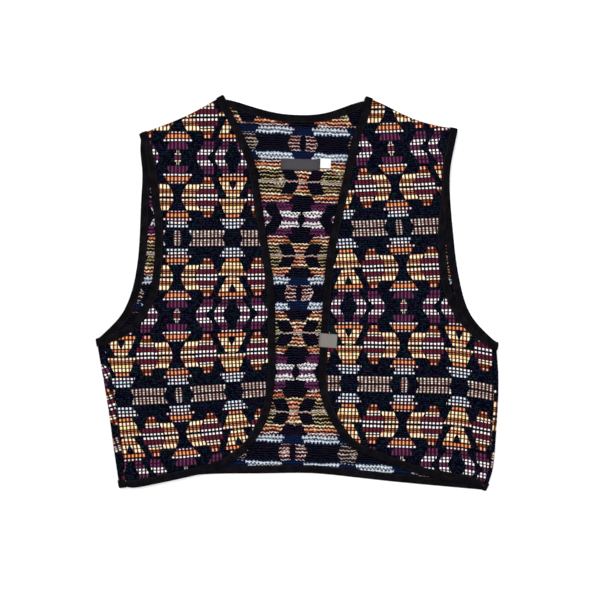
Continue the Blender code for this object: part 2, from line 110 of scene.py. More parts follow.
class Yarn(Enum):
    """Weft yarns: number in the palette, sRGB colour, and colour between the picks."""

    NONE = (0, (4, 5, 12), (2, 2, 6))
    WHITE = (1, (248, 242, 244), (30, 20, 30))
    BLUISH = (2, (212, 224, 238), (14, 26, 42))
    CREAM = (3, (252, 238, 204), (112, 66, 32))
    YELLOW = (4, (240, 226, 172), (112, 76, 30))
    ORANGE = (5, (240, 164, 110), (124, 42, 14))
    BURGUNDY = (6, (100, 18, 42), (40, 6, 18))
    PURPLE = (7, (100, 42, 84), (32, 8, 32))
    PALE = (8, (204, 190, 178), (56, 34, 32))
    RUST = (9, (138, 50, 30), (56, 14, 8))
    PINK = (10, (246, 226, 226), (74, 22, 34))
    OLIVE = (11, (196, 192, 138), (24, 26, 20))
    BLUE = (12, (16, 28, 60), (4, 8, 24))
    SALMON = (13, (236, 172, 142), (84, 24, 16))
    IVORY = (14, (248, 232, 208), (92, 52, 34))

    @property
    def place(self) -> float:
        """Return its place in the palette, 0 to 1."""
        return self.value[0] / YARN_COUNT


@dataclass(frozen=True)
class Band:
    """One band of a figure, in mm: where it runs along the warp and how wide it is.

    Attributes:
        start: Where it begins, from the middle of the purple figures.
        end: Where it ends.
        outer: Distance of its outer side from the figure's axis, at start and end.
        yarn: Its colour.
        inner: Distance of its inner side, where it has a hole.
    """

    start: float
    end: float
    outer: Pair
    yarn: Yarn
    inner: Pair = (0.0, 0.0)


@dataclass(frozen=True)
class Rib:
    """Strands of weft that float on the reverse, up to the next entry's strand."""

    strand: int
    yarn: Yarn


@dataclass(frozen=True)
class Chart:
    """The repeat, charted as a quarter that is mirrored both ways.

    It runs from the middle of the purple figures to the middle of the pale
    bars. Each figure has its own axis across the repeat.
    """

    rows: int = 34
    strands: int = 21
    length: float = 94.2
    columns: int = 15
    column_width: float = 4.4
    diamond_axis: float = 30.2

    hourglass: tuple[Band, ...] = (
        Band(0.0, 2.9, (4.7, 4.4), Yarn.PURPLE), Band(3.1, 5.2, (4.0, 3.6), Yarn.CREAM),
        Band(5.4, 9.1, (1.9, 1.2), Yarn.WHITE), Band(9.6, 18.1, (13.0, 10.0), Yarn.PURPLE),
        Band(18.8, 21.5, (17.6, 17.4), Yarn.WHITE), Band(22.3, 27.4, (15.4, 13.0), Yarn.ORANGE),
        Band(28.3, 30.6, (10.6, 10.0), Yarn.PINK), Band(31.1, 37.0, (26.8, 24.7), Yarn.CREAM, (11.8, 7.6)),
        Band(37.4, 39.1, (24.2, 23.8), Yarn.ORANGE, (7.2, 6.7)),
        Band(39.7, 41.3, (23.3, 22.6), Yarn.ORANGE, (6.5, 6.1)),
        Band(41.9, 45.8, (22.1, 21.1), Yarn.IVORY, (5.9, 4.7)),
        Band(47.9, 51.0, (20.9, 21.6), Yarn.IVORY, (4.7, 5.5)),
        Band(51.6, 53.3, (22.0, 22.6), Yarn.ORANGE, (6.0, 6.7)),
        Band(54.0, 55.6, (23.0, 23.6), Yarn.ORANGE, (7.1, 7.7)),
        Band(56.2, 61.7, (24.0, 26.4), Yarn.CREAM, (8.0, 11.5)), Band(61.9, 63.8, (10.1, 10.7), Yarn.PINK),
        Band(64.8, 69.5, (13.0, 13.9), Yarn.ORANGE), Band(70.7, 73.6, (17.4, 17.6), Yarn.PINK),
        Band(74.6, 77.6, (10.6, 10.6), Yarn.WHITE), Band(78.6, 81.7, (12.7, 13.0), Yarn.BLUISH),
        Band(85.1, 87.0, (2.2, 3.6), Yarn.PALE), Band(87.4, 89.3, (3.8, 4.6), Yarn.PALE),
        Band(89.8, 92.2, (5.0, 5.5), Yarn.PALE), Band(92.9, 94.2, (5.3, 5.3), Yarn.PALE),
    )
    triangle: tuple[Band, ...] = (
        Band(0.0, 2.3, (21.6, 21.6), Yarn.PURPLE, (10.8, 10.6)),
        Band(2.6, 6.0, (20.9, 20.4), Yarn.WHITE, (10.3, 8.6)),
        Band(6.4, 9.4, (19.7, 18.2), Yarn.WHITE, (7.9, 6.5)),
        Band(9.7, 13.7, (17.8, 15.1), Yarn.PURPLE, (6.0, 5.3)),
        Band(14.3, 17.9, (14.2, 12.7), Yarn.PURPLE, (5.0, 4.6)), Band(18.8, 21.5, (12.2, 12.2), Yarn.PINK),
        Band(22.8, 27.0, (17.3, 16.6), Yarn.ORANGE), Band(28.2, 32.9, (15.6, 13.7), Yarn.CREAM, (4.3, 3.1)),
        Band(33.2, 37.8, (13.4, 11.3), Yarn.CREAM, (2.9, 0.7)), Band(38.6, 41.5, (10.6, 9.4), Yarn.ORANGE),
        Band(42.0, 45.7, (8.6, 7.2), Yarn.CREAM), Band(46.1, 47.6, (5.0, 5.0), Yarn.OLIVE),
        Band(48.1, 51.4, (16.6, 16.1), Yarn.IVORY), Band(51.7, 53.5, (15.4, 14.6), Yarn.ORANGE),
        Band(54.2, 55.8, (14.2, 13.7), Yarn.ORANGE), Band(56.3, 60.4, (13.2, 11.8), Yarn.YELLOW),
        Band(60.6, 64.7, (11.5, 9.8), Yarn.CREAM), Band(66.0, 69.8, (8.6, 7.2), Yarn.ORANGE),
        Band(71.5, 74.4, (14.9, 14.6), Yarn.WHITE), Band(75.4, 78.4, (12.7, 12.5), Yarn.BLUISH),
        Band(79.3, 82.1, (10.1, 9.8), Yarn.BLUISH),
    )
    diamond: tuple[Band, ...] = (
        Band(23.2, 27.0, (5.0, 5.0), Yarn.SALMON), Band(27.2, 30.4, (6.2, 6.5), Yarn.RUST),
        Band(30.7, 33.4, (8.2, 8.2), Yarn.CREAM), Band(34.1, 36.4, (8.3, 8.3), Yarn.WHITE),
        Band(36.8, 42.0, (12.2, 12.5), Yarn.BURGUNDY), Band(42.4, 45.8, (12.6, 12.6), Yarn.WHITE),
        Band(47.5, 50.4, (12.6, 12.6), Yarn.WHITE), Band(50.8, 56.3, (12.5, 12.2), Yarn.BURGUNDY),
        Band(56.5, 58.8, (8.4, 8.4), Yarn.WHITE), Band(59.3, 62.3, (8.2, 8.2), Yarn.CREAM),
        Band(62.6, 66.2, (6.5, 5.8), Yarn.RUST), Band(66.5, 69.8, (5.0, 5.0), Yarn.SALMON),
        Band(84.8, 88.0, (21.6, 20.9), Yarn.PALE), Band(88.2, 90.4, (20.4, 19.7), Yarn.PALE),
        Band(90.6, 93.1, (18.7, 18.5), Yarn.PALE), Band(93.8, 94.2, (18.2, 18.2), Yarn.PURPLE),
    )
    ring: tuple[Band, ...] = (
        Band(0.0, 2.8, (44.4, 43.7), Yarn.PURPLE, (30.2, 30.0)),
        Band(3.1, 6.2, (42.7, 42.0), Yarn.WHITE, (28.8, 26.4)),
        Band(6.6, 9.8, (41.0, 40.1), Yarn.WHITE, (24.6, 24.0)),
        Band(10.3, 14.4, (38.4, 37.2), Yarn.PURPLE, (23.3, 22.6)),
        Band(14.6, 19.2, (36.0, 35.3), Yarn.PURPLE, (22.6, 23.4)),
    )
    # Strands that float on the reverse, beside the hourglass axis and elsewhere
    reverse_near: tuple[Rib, ...] = (
        Rib(0, Yarn.PURPLE), Rib(1, Yarn.WHITE), Rib(3, Yarn.PURPLE),
        Rib(5, Yarn.PINK), Rib(6, Yarn.ORANGE), Rib(7, Yarn.YELLOW),
        Rib(8, Yarn.SALMON), Rib(10, Yarn.PALE), Rib(11, Yarn.SALMON),
        Rib(13, Yarn.CREAM), Rib(15, Yarn.ORANGE), Rib(16, Yarn.PINK),
        Rib(17, Yarn.BLUISH), Rib(19, Yarn.BLUE), Rib(20, Yarn.PINK),
    )
    reverse_far: tuple[Rib, ...] = (
        Rib(0, Yarn.PURPLE), Rib(1, Yarn.WHITE), Rib(3, Yarn.PURPLE),
        Rib(5, Yarn.PINK), Rib(6, Yarn.ORANGE), Rib(7, Yarn.CREAM),
        Rib(8, Yarn.OLIVE), Rib(10, Yarn.PALE), Rib(11, Yarn.OLIVE),
        Rib(14, Yarn.CREAM), Rib(15, Yarn.ORANGE), Rib(16, Yarn.PINK),
        Rib(17, Yarn.BLUISH), Rib(19, Yarn.BLUE), Rib(20, Yarn.PALE),
    )


CHART = Chart()


@dataclass(frozen=True)
class WeaveLay:
    """How the cloth's pattern lies on one panel, in mm.

    Attributes:
        axis: Height y and the x of the hourglass axis there, from the top down.
        centres: Height y on that axis and the half repeat counted there.
        slopes: Height y and the rise of the rows towards +X there.
        droop: How far the rows sink at the outer side, low on the panel.
        outer_slope: Share of the rise that is left on the -X side of the axis.
        droop_from: The x from which they sink.
        droop_run: How far on they have sunk fully.
        droop_low: How far below the middle of the vest the droop is full.
    """

    axis: Table
    centres: Table
    slopes: Table
    droop: float = 0.0
    outer_slope: float = 1.0
    droop_from: float = 177.0
    droop_run: float = 61.0
    droop_low: float = 60.0

    def threads(self, x: np.ndarray, y: np.ndarray) -> tuple[np.ndarray, np.ndarray]:
        """Return column and row numbers of the pattern at plan points.

        Args:
            x: Plan x of each point, in mm.
            y: Plan y of each point, in mm.

        Returns:
            Columns from the hourglass axis, and rows from the first purple figure.
        """
        across = x - table_value(self.axis, y)
        reach = np.clip((x - self.droop_from) / self.droop_run, 0.0, 1.2) ** 1.5
        low = np.clip(-y / self.droop_low, 0.0, 1.0)
        run = np.where(across < 0.0, across * self.outer_slope, across)
        level = y - table_value(self.slopes, y) * run + self.droop * reach * low
        return across / CHART.column_width, extended_value(self.centres, level) * CHART.rows


def table_value(table: Table, at: np.ndarray) -> np.ndarray:
    """Read a table of (y, value) rows from the top down, held level beyond its ends."""
    keys, values = np.array(table)[::-1].T
    return np.interp(at, keys, values)


def extended_value(table: Table, at: np.ndarray) -> np.ndarray:
    """Read a table like table_value, carried on in a straight line beyond its ends."""
    reach = 300.0
    ends = []
    for (y, value), (near_y, near_value), way in ((table[0], table[1], 1.0), (table[-1], table[-2], -1.0)):
        ends.append((y + way * reach, value + way * (value - near_value) / (y - near_y) * reach))
    return table_value((ends[0], *table, ends[1]), at)


LAYS = {
    "front_right": WeaveLay(
        axis=((161.8, -142.8), (0.0, -143.6),
              (-74.6, -144.5), (-123.8, -141.6), (-169.4, -137.3), (-193.4, -132.7)),
        centres=((161.8, 0.0), (65.3, 1.0), (-27.5, 2.0), (-122.6, 3.0), (-216.2, 4.0)),
        slopes=((51.0, 0.0), (-77.0, 0.05), (-170.6, 0.105), (-230.0, 0.12)),
        outer_slope=0.5,
    ),
    "front_left": WeaveLay(
        axis=((196.6, 109.8), (147.4, 115.0), (101.8, 120.0), (53.8, 124.2), (11.8, 127.6), (-60.2, 127.6),
              (-110.6, 128.4), (-180.2, 125.0)),
        centres=((172.8, 0.0), (78.6, 1.0), (-16.7, 2.0), (-110.0, 3.0), (-204.2, 4.0)),
        slopes=((123.0, 0.035), (29.8, 0.028), (-61.4, -0.018), (-156.2, -0.024)),
        droop=8.0,
    ),
    "back": WeaveLay(
        axis=((179.8, 7.0), (134.2, 7.0), (88.6, 4.9), (43.0, 3.2), (-49.4, 0.7),
              (-86.6, -1.2), (-143.0, -4.1), (-191.0, -5.3)),
        centres=((178.8, -1.0), (87.8, 0.0), (-0.2, 1.0), (-95.0, 2.0), (-191.0, 3.0)),
        slopes=((170.0, -0.045), (88.0, -0.02), (0.0, 0.0), (-95.0, 0.0), (-190.0, -0.04)),
    ),
}


# Fold lines and bound edges of the laid garment, each point as x, y. They are
# the ones that the solids were made from.
SHOULDER_FOLD = {
    Side.RIGHT: ((-86.5, 233.8), (-110.3, 219.8), (-139.2, 205.4), (-188.0, 186.4)),
    Side.LEFT: ((80.5, 232.0), (103.0, 222.1), (131.8, 207.7), (160.8, 198.0), (191.6, 192.4)),
}
SIDE_FOLD = {
    Side.RIGHT: ((-237.3, -54.0), (-231.9, -85.4), (-222.3, -143.0), (-217.2, -181.4), (-209.2, -233.4)),
    Side.LEFT: ((237.2, -58.2), (234.8, -71.0), (237.4, -90.0), (237.6, -123.8),
                (235.2, -165.0), (232.8, -197.0), (229.8, -217.0), (222.0, -236.0)),
}
BACK_NECK = ((-86.5, 233.8), (-54.2, 223.2), (-25.4, 215.6), (1.0, 213.0),
             (32.0, 214.8), (61.0, 224.4), (80.5, 232.0))
BACK_HEM = ((-209.2, -233.4), (-172.0, -228.0), (-130.0, -219.6), (-99.8, -217.0), (-44.6, -216.6),
            (17.8, -216.2), (75.4, -221.9), (113.6, -226.1), (171.0, -231.5), (222.0, -236.0))
BACK_ARMHOLE = {
    Side.RIGHT: ((-188.0, 186.4), (-188.4, 168.0), (-185.4, 145.0), (-187.4, 106.6), (-188.8, 68.2),
                 (-191.0, 39.4), (-195.8, 10.6), (-201.8, -8.6), (-211.4, -27.8), (-237.3, -54.0)),
    Side.LEFT: ((191.6, 192.4), (188.2, 173.8), (183.6, 150.0), (183.0, 120.0), (187.2, 68.2),
                (191.8, 29.8), (200.2, -8.6), (208.6, -27.8), (220.0, -42.0), (237.2, -58.2)),
}
FRONT_ARMHOLE = {
    Side.RIGHT: ((-188.0, 186.4), (-179.0, 153.4), (-173.9, 111.4), (-170.3, 85.0), (-170.0, 57.4),
                 (-171.8, 30.0), (-175.4, 5.0), (-182.5, -11.0), (-193.4, -29.0), (-203.5, -40.2),
                 (-216.0, -46.2), (-237.3, -54.0)),
    Side.LEFT: ((191.6, 192.4), (187.8, 173.8), (183.0, 150.0), (182.2, 124.6), (178.0, 81.4),
                (177.4, 59.8), (181.8, 13.0), (189.1, -8.6), (205.9, -35.3), (218.2, -46.3),
                (237.2, -58.2)),
}
FRONT_OPENING = {
    Side.RIGHT: ((-86.5, 233.8), (-80.4, 220.6), (-70.6, 202.8), (-51.5, 158.2), (-44.3, 121.0),
                 (-34.1, 53.8), (-29.0, 20.2), (-26.5, -8.6), (-25.8, -62.6), (-25.6, -92.0),
                 (-30.8, -135.2), (-39.4, -159.8), (-56.9, -186.2), (-76.7, -202.4), (-99.6, -212.3),
                 (-126.4, -219.4), (-172.1, -229.2), (-194.0, -233.4), (-209.2, -233.4)),
    Side.LEFT: ((80.5, 232.0), (77.6, 218.0), (66.5, 188.2), (55.0, 137.8), (41.8, 79.0),
                (35.4, 47.0), (30.4, -8.6), (29.0, -38.6), (24.6, -104.0), (27.5, -121.0),
                (34.9, -143.0), (51.7, -171.8), (67.0, -187.0), (90.7, -196.8), (113.6, -206.2),
                (144.2, -217.0), (174.8, -223.0), (204.0, -228.6), (222.0, -236.0)),
}


@dataclass
class PlanLine:
    """A smooth line in plan through a short table of points, walked at even steps.

    Attributes:
        table: Plan points that the line goes through, in mm.
        inside: 1 where the cloth is on the right of the walk, -1 on the left.
        step: Distance between samples, in mm.
        parts: Parts that each curve between two points is reckoned in.
        batch: How many points are compared with the line at once.
        points: Its samples.
        inward: The way into the cloth at each.
    """

    table: Table
    inside: int
    step: float = 3.0
    parts: int = 24
    batch: int = 4000
    points: np.ndarray = field(init=False)
    inward: np.ndarray = field(init=False)

    def __post_init__(self) -> None:
        """Sample the line."""
        knots = [Vector(point) for point in self.table]
        knots.insert(0, knots[0] * 2 - knots[1])
        knots.append(knots[-1] * 2 - knots[-2])
        fine: list[Vector] = []
        for before, start, end, after in zip(knots, knots[1:], knots[2:], knots[3:]):
            span = (end - start).length
            leave = (end - before) * (span / max((end - before).length, span))
            arrive = (after - start) * (span / max((after - start).length, span))
            for part in range(self.parts):
                t = part / self.parts
                fine.append(start * (2 * t ** 3 - 3 * t ** 2 + 1) + leave * (t ** 3 - 2 * t ** 2 + t)
                            + end * (3 * t ** 2 - 2 * t ** 3) + arrive * (t ** 3 - t ** 2))
        fine.append(knots[-2])
        track = np.array([tuple(point) for point in fine])
        lengths = np.concatenate(([0.0], np.cumsum(np.hypot(*np.diff(track, axis=0).T))))
        at = np.linspace(0.0, lengths[-1], max(2, round(lengths[-1] / self.step)) + 1)
        self.points = np.column_stack([np.interp(at, lengths, track[:, axis]) for axis in (0, 1)])
        ways = np.gradient(self.points, axis=0)
        ways /= np.linalg.norm(ways, axis=1)[:, None]
        self.inward = np.column_stack((ways[:, 1], -ways[:, 0])) * self.inside

    def nearest(self, points: np.ndarray) -> np.ndarray:
        """Return the index of the sample nearest to each plan point."""
        found = []
        for start in range(0, len(points), self.batch):
            away = points[start:start + self.batch, None] - self.points
            found.append(np.argmin((away ** 2).sum(axis=2), axis=1))
        return np.concatenate(found)

    def depth(self, points: np.ndarray) -> np.ndarray:
        """Return how far into the cloth each plan point lies, less than 0 beyond the line."""
        nearest = self.nearest(points)
        return ((points - self.points[nearest]) * self.inward[nearest]).sum(axis=1)


@dataclass(frozen=True)
class FoldLine:
    """A line over which the cloth turns in a half circle.

    Attributes:
        line: The line in plan.
        level: Height of the cloth at the line, in mm.
        rises: Whether the cloth turns upwards.
        radius: Radius of the half circle.
    """

    line: PlanLine
    level: float
    rises: bool
    radius: float = 2.7

    def unfold(self, points: np.ndarray) -> np.ndarray:
        """Return the flat plan places of points in mm, with what is turned over laid out."""
        flat = points[:, :2]
        nearest = self.line.nearest(flat)
        ways = self.line.inward[nearest]
        along = flat - self.line.points[nearest]
        depth = (along * ways).sum(axis=1)
        rise = (points[:, 2] - self.level) * (1.0 if self.rises else -1.0)
        angle = np.arccos(np.clip(1.0 - rise / self.radius, -1.0, 1.0))
        past = self.radius * angle + np.where(rise > self.radius, np.maximum(depth, 0.0), 0.0)
        turned = (depth < 0.0) | ((rise > self.radius) & (depth < 3 * self.radius))
        laid = self.line.points[nearest] - ways * past[:, None]
        along -= ways * depth[:, None]
        return np.where(turned[:, None], laid + along, flat)


def srgb(*channels: float) -> Colour:
    """Turn an sRGB colour in 0 to 255 into linear light with full alpha."""
    linear = []
    for channel in channels:
        share = channel / 255
        linear.append(share / 12.92 if share <= 0.04045 else ((share + 0.055) / 1.055) ** 2.4)
    return (linear[0], linear[1], linear[2], 1.0)


def math_operator(operation: str) -> Callable[["Value", "Value | float"], "Value"]:
    """Return the operator that adds a Math node of an operation."""
    return lambda value, other: value.math(operation, other)


class Value:
    """A socket's number, on which Python's operators add Math nodes."""

    def __init__(self, dye: "Dye", socket: Socket) -> None:
        """Wrap an output of one of the material's nodes."""
        self.dye = dye
        self.socket = socket

    def math(self, operation: str, *others: "Value | float") -> "Value":
        """Add a Math node on this value and its further inputs."""
        return self.dye.value("ShaderNodeMath", {"operation": operation}, [self, *others])

    def __rsub__(self, other: float) -> "Value":
        """Return the difference from a number."""
        return self.dye.value("ShaderNodeMath", {"operation": "SUBTRACT"}, [other, self])

    __add__ = __radd__ = math_operator("ADD")
    __sub__ = math_operator("SUBTRACT")
    __mul__ = math_operator("MULTIPLY")
    __truediv__ = math_operator("DIVIDE")
    __gt__ = math_operator("GREATER_THAN")
    __lt__ = math_operator("LESS_THAN")

    def pingpong(self, scale: float) -> "Value":
        """Return the distance to the nearest whole multiple of twice the scale."""
        return self.math("PINGPONG", scale)

    def wave(self) -> "Value":
        """Return its sine, moved to run from 0 to 1."""
        return self.math("SINE") * 0.5 + 0.5

    def clamp(self) -> "Value":
        """Return the number held between 0 and 1."""
        return self.dye.value("ShaderNodeClamp", {}, [self])

    def step(self, low: float, high: float) -> "Value":
        """Return a smooth rise from 0 at low to 1 at high."""
        return self.dye.value("ShaderNodeMapRange", {"interpolation_type": "SMOOTHSTEP"}, [self, low, high])


class NodeBuilder:
    """Adds nodes to a tree."""

    def __init__(self, tree: bpy.types.NodeTree) -> None:
        """Work on a tree."""
        self.tree = tree

    def node(self, kind: str, settings: dict, inputs: "list | dict") -> bpy.types.Node:
        """Add a node.

        Args:
            kind: The node's type.
            settings: Its properties. A key "stops" gives a ramp's positions and colours,
                and a key "knots" a curve's points.
            inputs: Values or links for its sockets, by order or by name.
        """
        added = self.tree.nodes.new(kind)
        for key, setting in settings.items():
            if key == "stops":
                self.set_stops(added.color_ramp, setting)
            elif key == "knots":
                self.set_knots(added.mapping, setting)
            else:
                setattr(added, key, setting)
        for key, given in enumerate(inputs) if isinstance(inputs, list) else inputs.items():
            self.feed(added.inputs[key], given)
        return added

    def set_stops(self, ramp: bpy.types.ColorRamp, stops: list[tuple[float, Colour]]) -> None:
        """Give a ramp its stops, held constant from one to the next."""
        ramp.interpolation = "CONSTANT"
        while len(ramp.elements) > 1:
            ramp.elements.remove(ramp.elements[-1])
        ramp.elements[0].position, ramp.elements[0].color = stops[0]
        for position, colour in stops[1:]:
            ramp.elements.new(position).color = colour

    def set_knots(self, mapping: bpy.types.CurveMapping, knots: list[Pair]) -> None:
        """Give a curve its points, joined by straight lines."""
        curve = mapping.curves[0]
        curve.points[0].location = knots[0]
        curve.points[-1].location = knots[-1]
        for knot in knots[1:-1]:
            curve.points.new(*knot)
        for point in curve.points:
            point.handle_type = "VECTOR"
        mapping.update()

    def feed(self, socket: Socket, given: object) -> None:
        """Link an input to a value or socket, or set it."""
        if isinstance(given, Value):
            given = given.socket
        if isinstance(given, Socket):
            self.tree.links.new(given, socket)
        else:
            socket.default_value = given


class Dye(NodeBuilder):
    """Builder of one material's nodes."""

    specular: float = 0.008
    sheen_roughness: float = 0.5

    def __init__(self, name: str) -> None:
        """Start a named material with a Principled shader."""
        self.material = bpy.data.materials.new(name)
        self.material.use_nodes = True
        super().__init__(self.material.node_tree)
        self.shader = self.tree.nodes["Principled BSDF"]

    def value(self, kind: str, settings: dict, inputs: "list | dict") -> Value:
        """Add a node and wrap its first output."""
        return Value(self, self.node(kind, settings, inputs).outputs[0])

    def curve(self, knots: list[Pair], at: Value) -> Value:
        """Read a curve at a value from 0 to 1."""
        return self.value("ShaderNodeFloatCurve", {"knots": knots}, {"Value": at})

    def ramp(self, stops: list[tuple[float, Colour]], at: Value) -> Socket:
        """Read a ramp of constant colours at a value from 0 to 1."""
        return self.node("ShaderNodeValToRGB", {"stops": stops}, [at]).outputs[0]

    def mix(self, share: "Value | float", first: object, second: object) -> Socket:
        """Mix two colours, each a colour or a link, by the share of the second."""
        added = self.tree.nodes.new("ShaderNodeMix")
        added.data_type = "RGBA"
        for place, given in ((0, share), (6, first), (7, second)):
            self.feed(added.inputs[place], given)
        return added.outputs[2]

    def paint(self, ground: object, *coats: tuple["Value | float", Place]) -> Socket:
        """Lay coats over a ground, each a share and an sRGB colour."""
        for share, colour in coats:
            ground = self.mix(share, ground, srgb(*colour))
        return ground

    def split(self, vector: Socket) -> tuple[Value, Value]:
        """Return the x and y of a vector."""
        parts = self.node("ShaderNodeSeparateXYZ", {}, [vector])
        return Value(self, parts.outputs[0]), Value(self, parts.outputs[1])

    def threads(self) -> tuple[Value, Value]:
        """Return the columns and rows of the pattern, from the piece's own UV map."""
        return self.split(self.node("ShaderNodeUVMap", {"uv_map": "weave"}, []).outputs[0])

    def place(self) -> Socket:
        """Return the Object coordinates, in metres."""
        return self.node("ShaderNodeTexCoord", {}, []).outputs["Object"]

    def noise(self, scale: float, detail: float = 2.0) -> Value:
        """Return noise of a scale, counted per metre."""
        inputs = {"Vector": self.place(), "Scale": scale, "Detail": detail}
        return self.value("ShaderNodeTexNoise", {}, inputs)

    def bump(self, height: Value, distance: float, strength: float) -> Socket:
        """Return a bumped normal.

        Args:
            height: The height, 0 to 1.
            distance: Real height of 1, in metres.
            strength: How much of it shows.
        """
        inputs = {"Height": height, "Distance": distance, "Strength": strength}
        return self.node("ShaderNodeBump", {}, inputs).outputs[0]

    def finish(self, colour: Socket, roughness: object, normal: Socket, sheen: float = 0.0) -> Finish:
        """Feed the shader and return the material, with a constant sheen."""
        fed = {"Base Color": colour, "Roughness": roughness, "Normal": normal, "Sheen Weight": sheen,
               "Sheen Roughness": self.sheen_roughness, "Specular IOR Level": self.specular}
        for name, given in fed.items():
            self.feed(self.shader.inputs[name], given)
        return self.material


@dataclass(frozen=True)
class Figure:
    """What one charted figure gives at a point: if it is inside, its yarn, and if on a gap."""

    inside: Value
    yarn: Value
    gap: Value


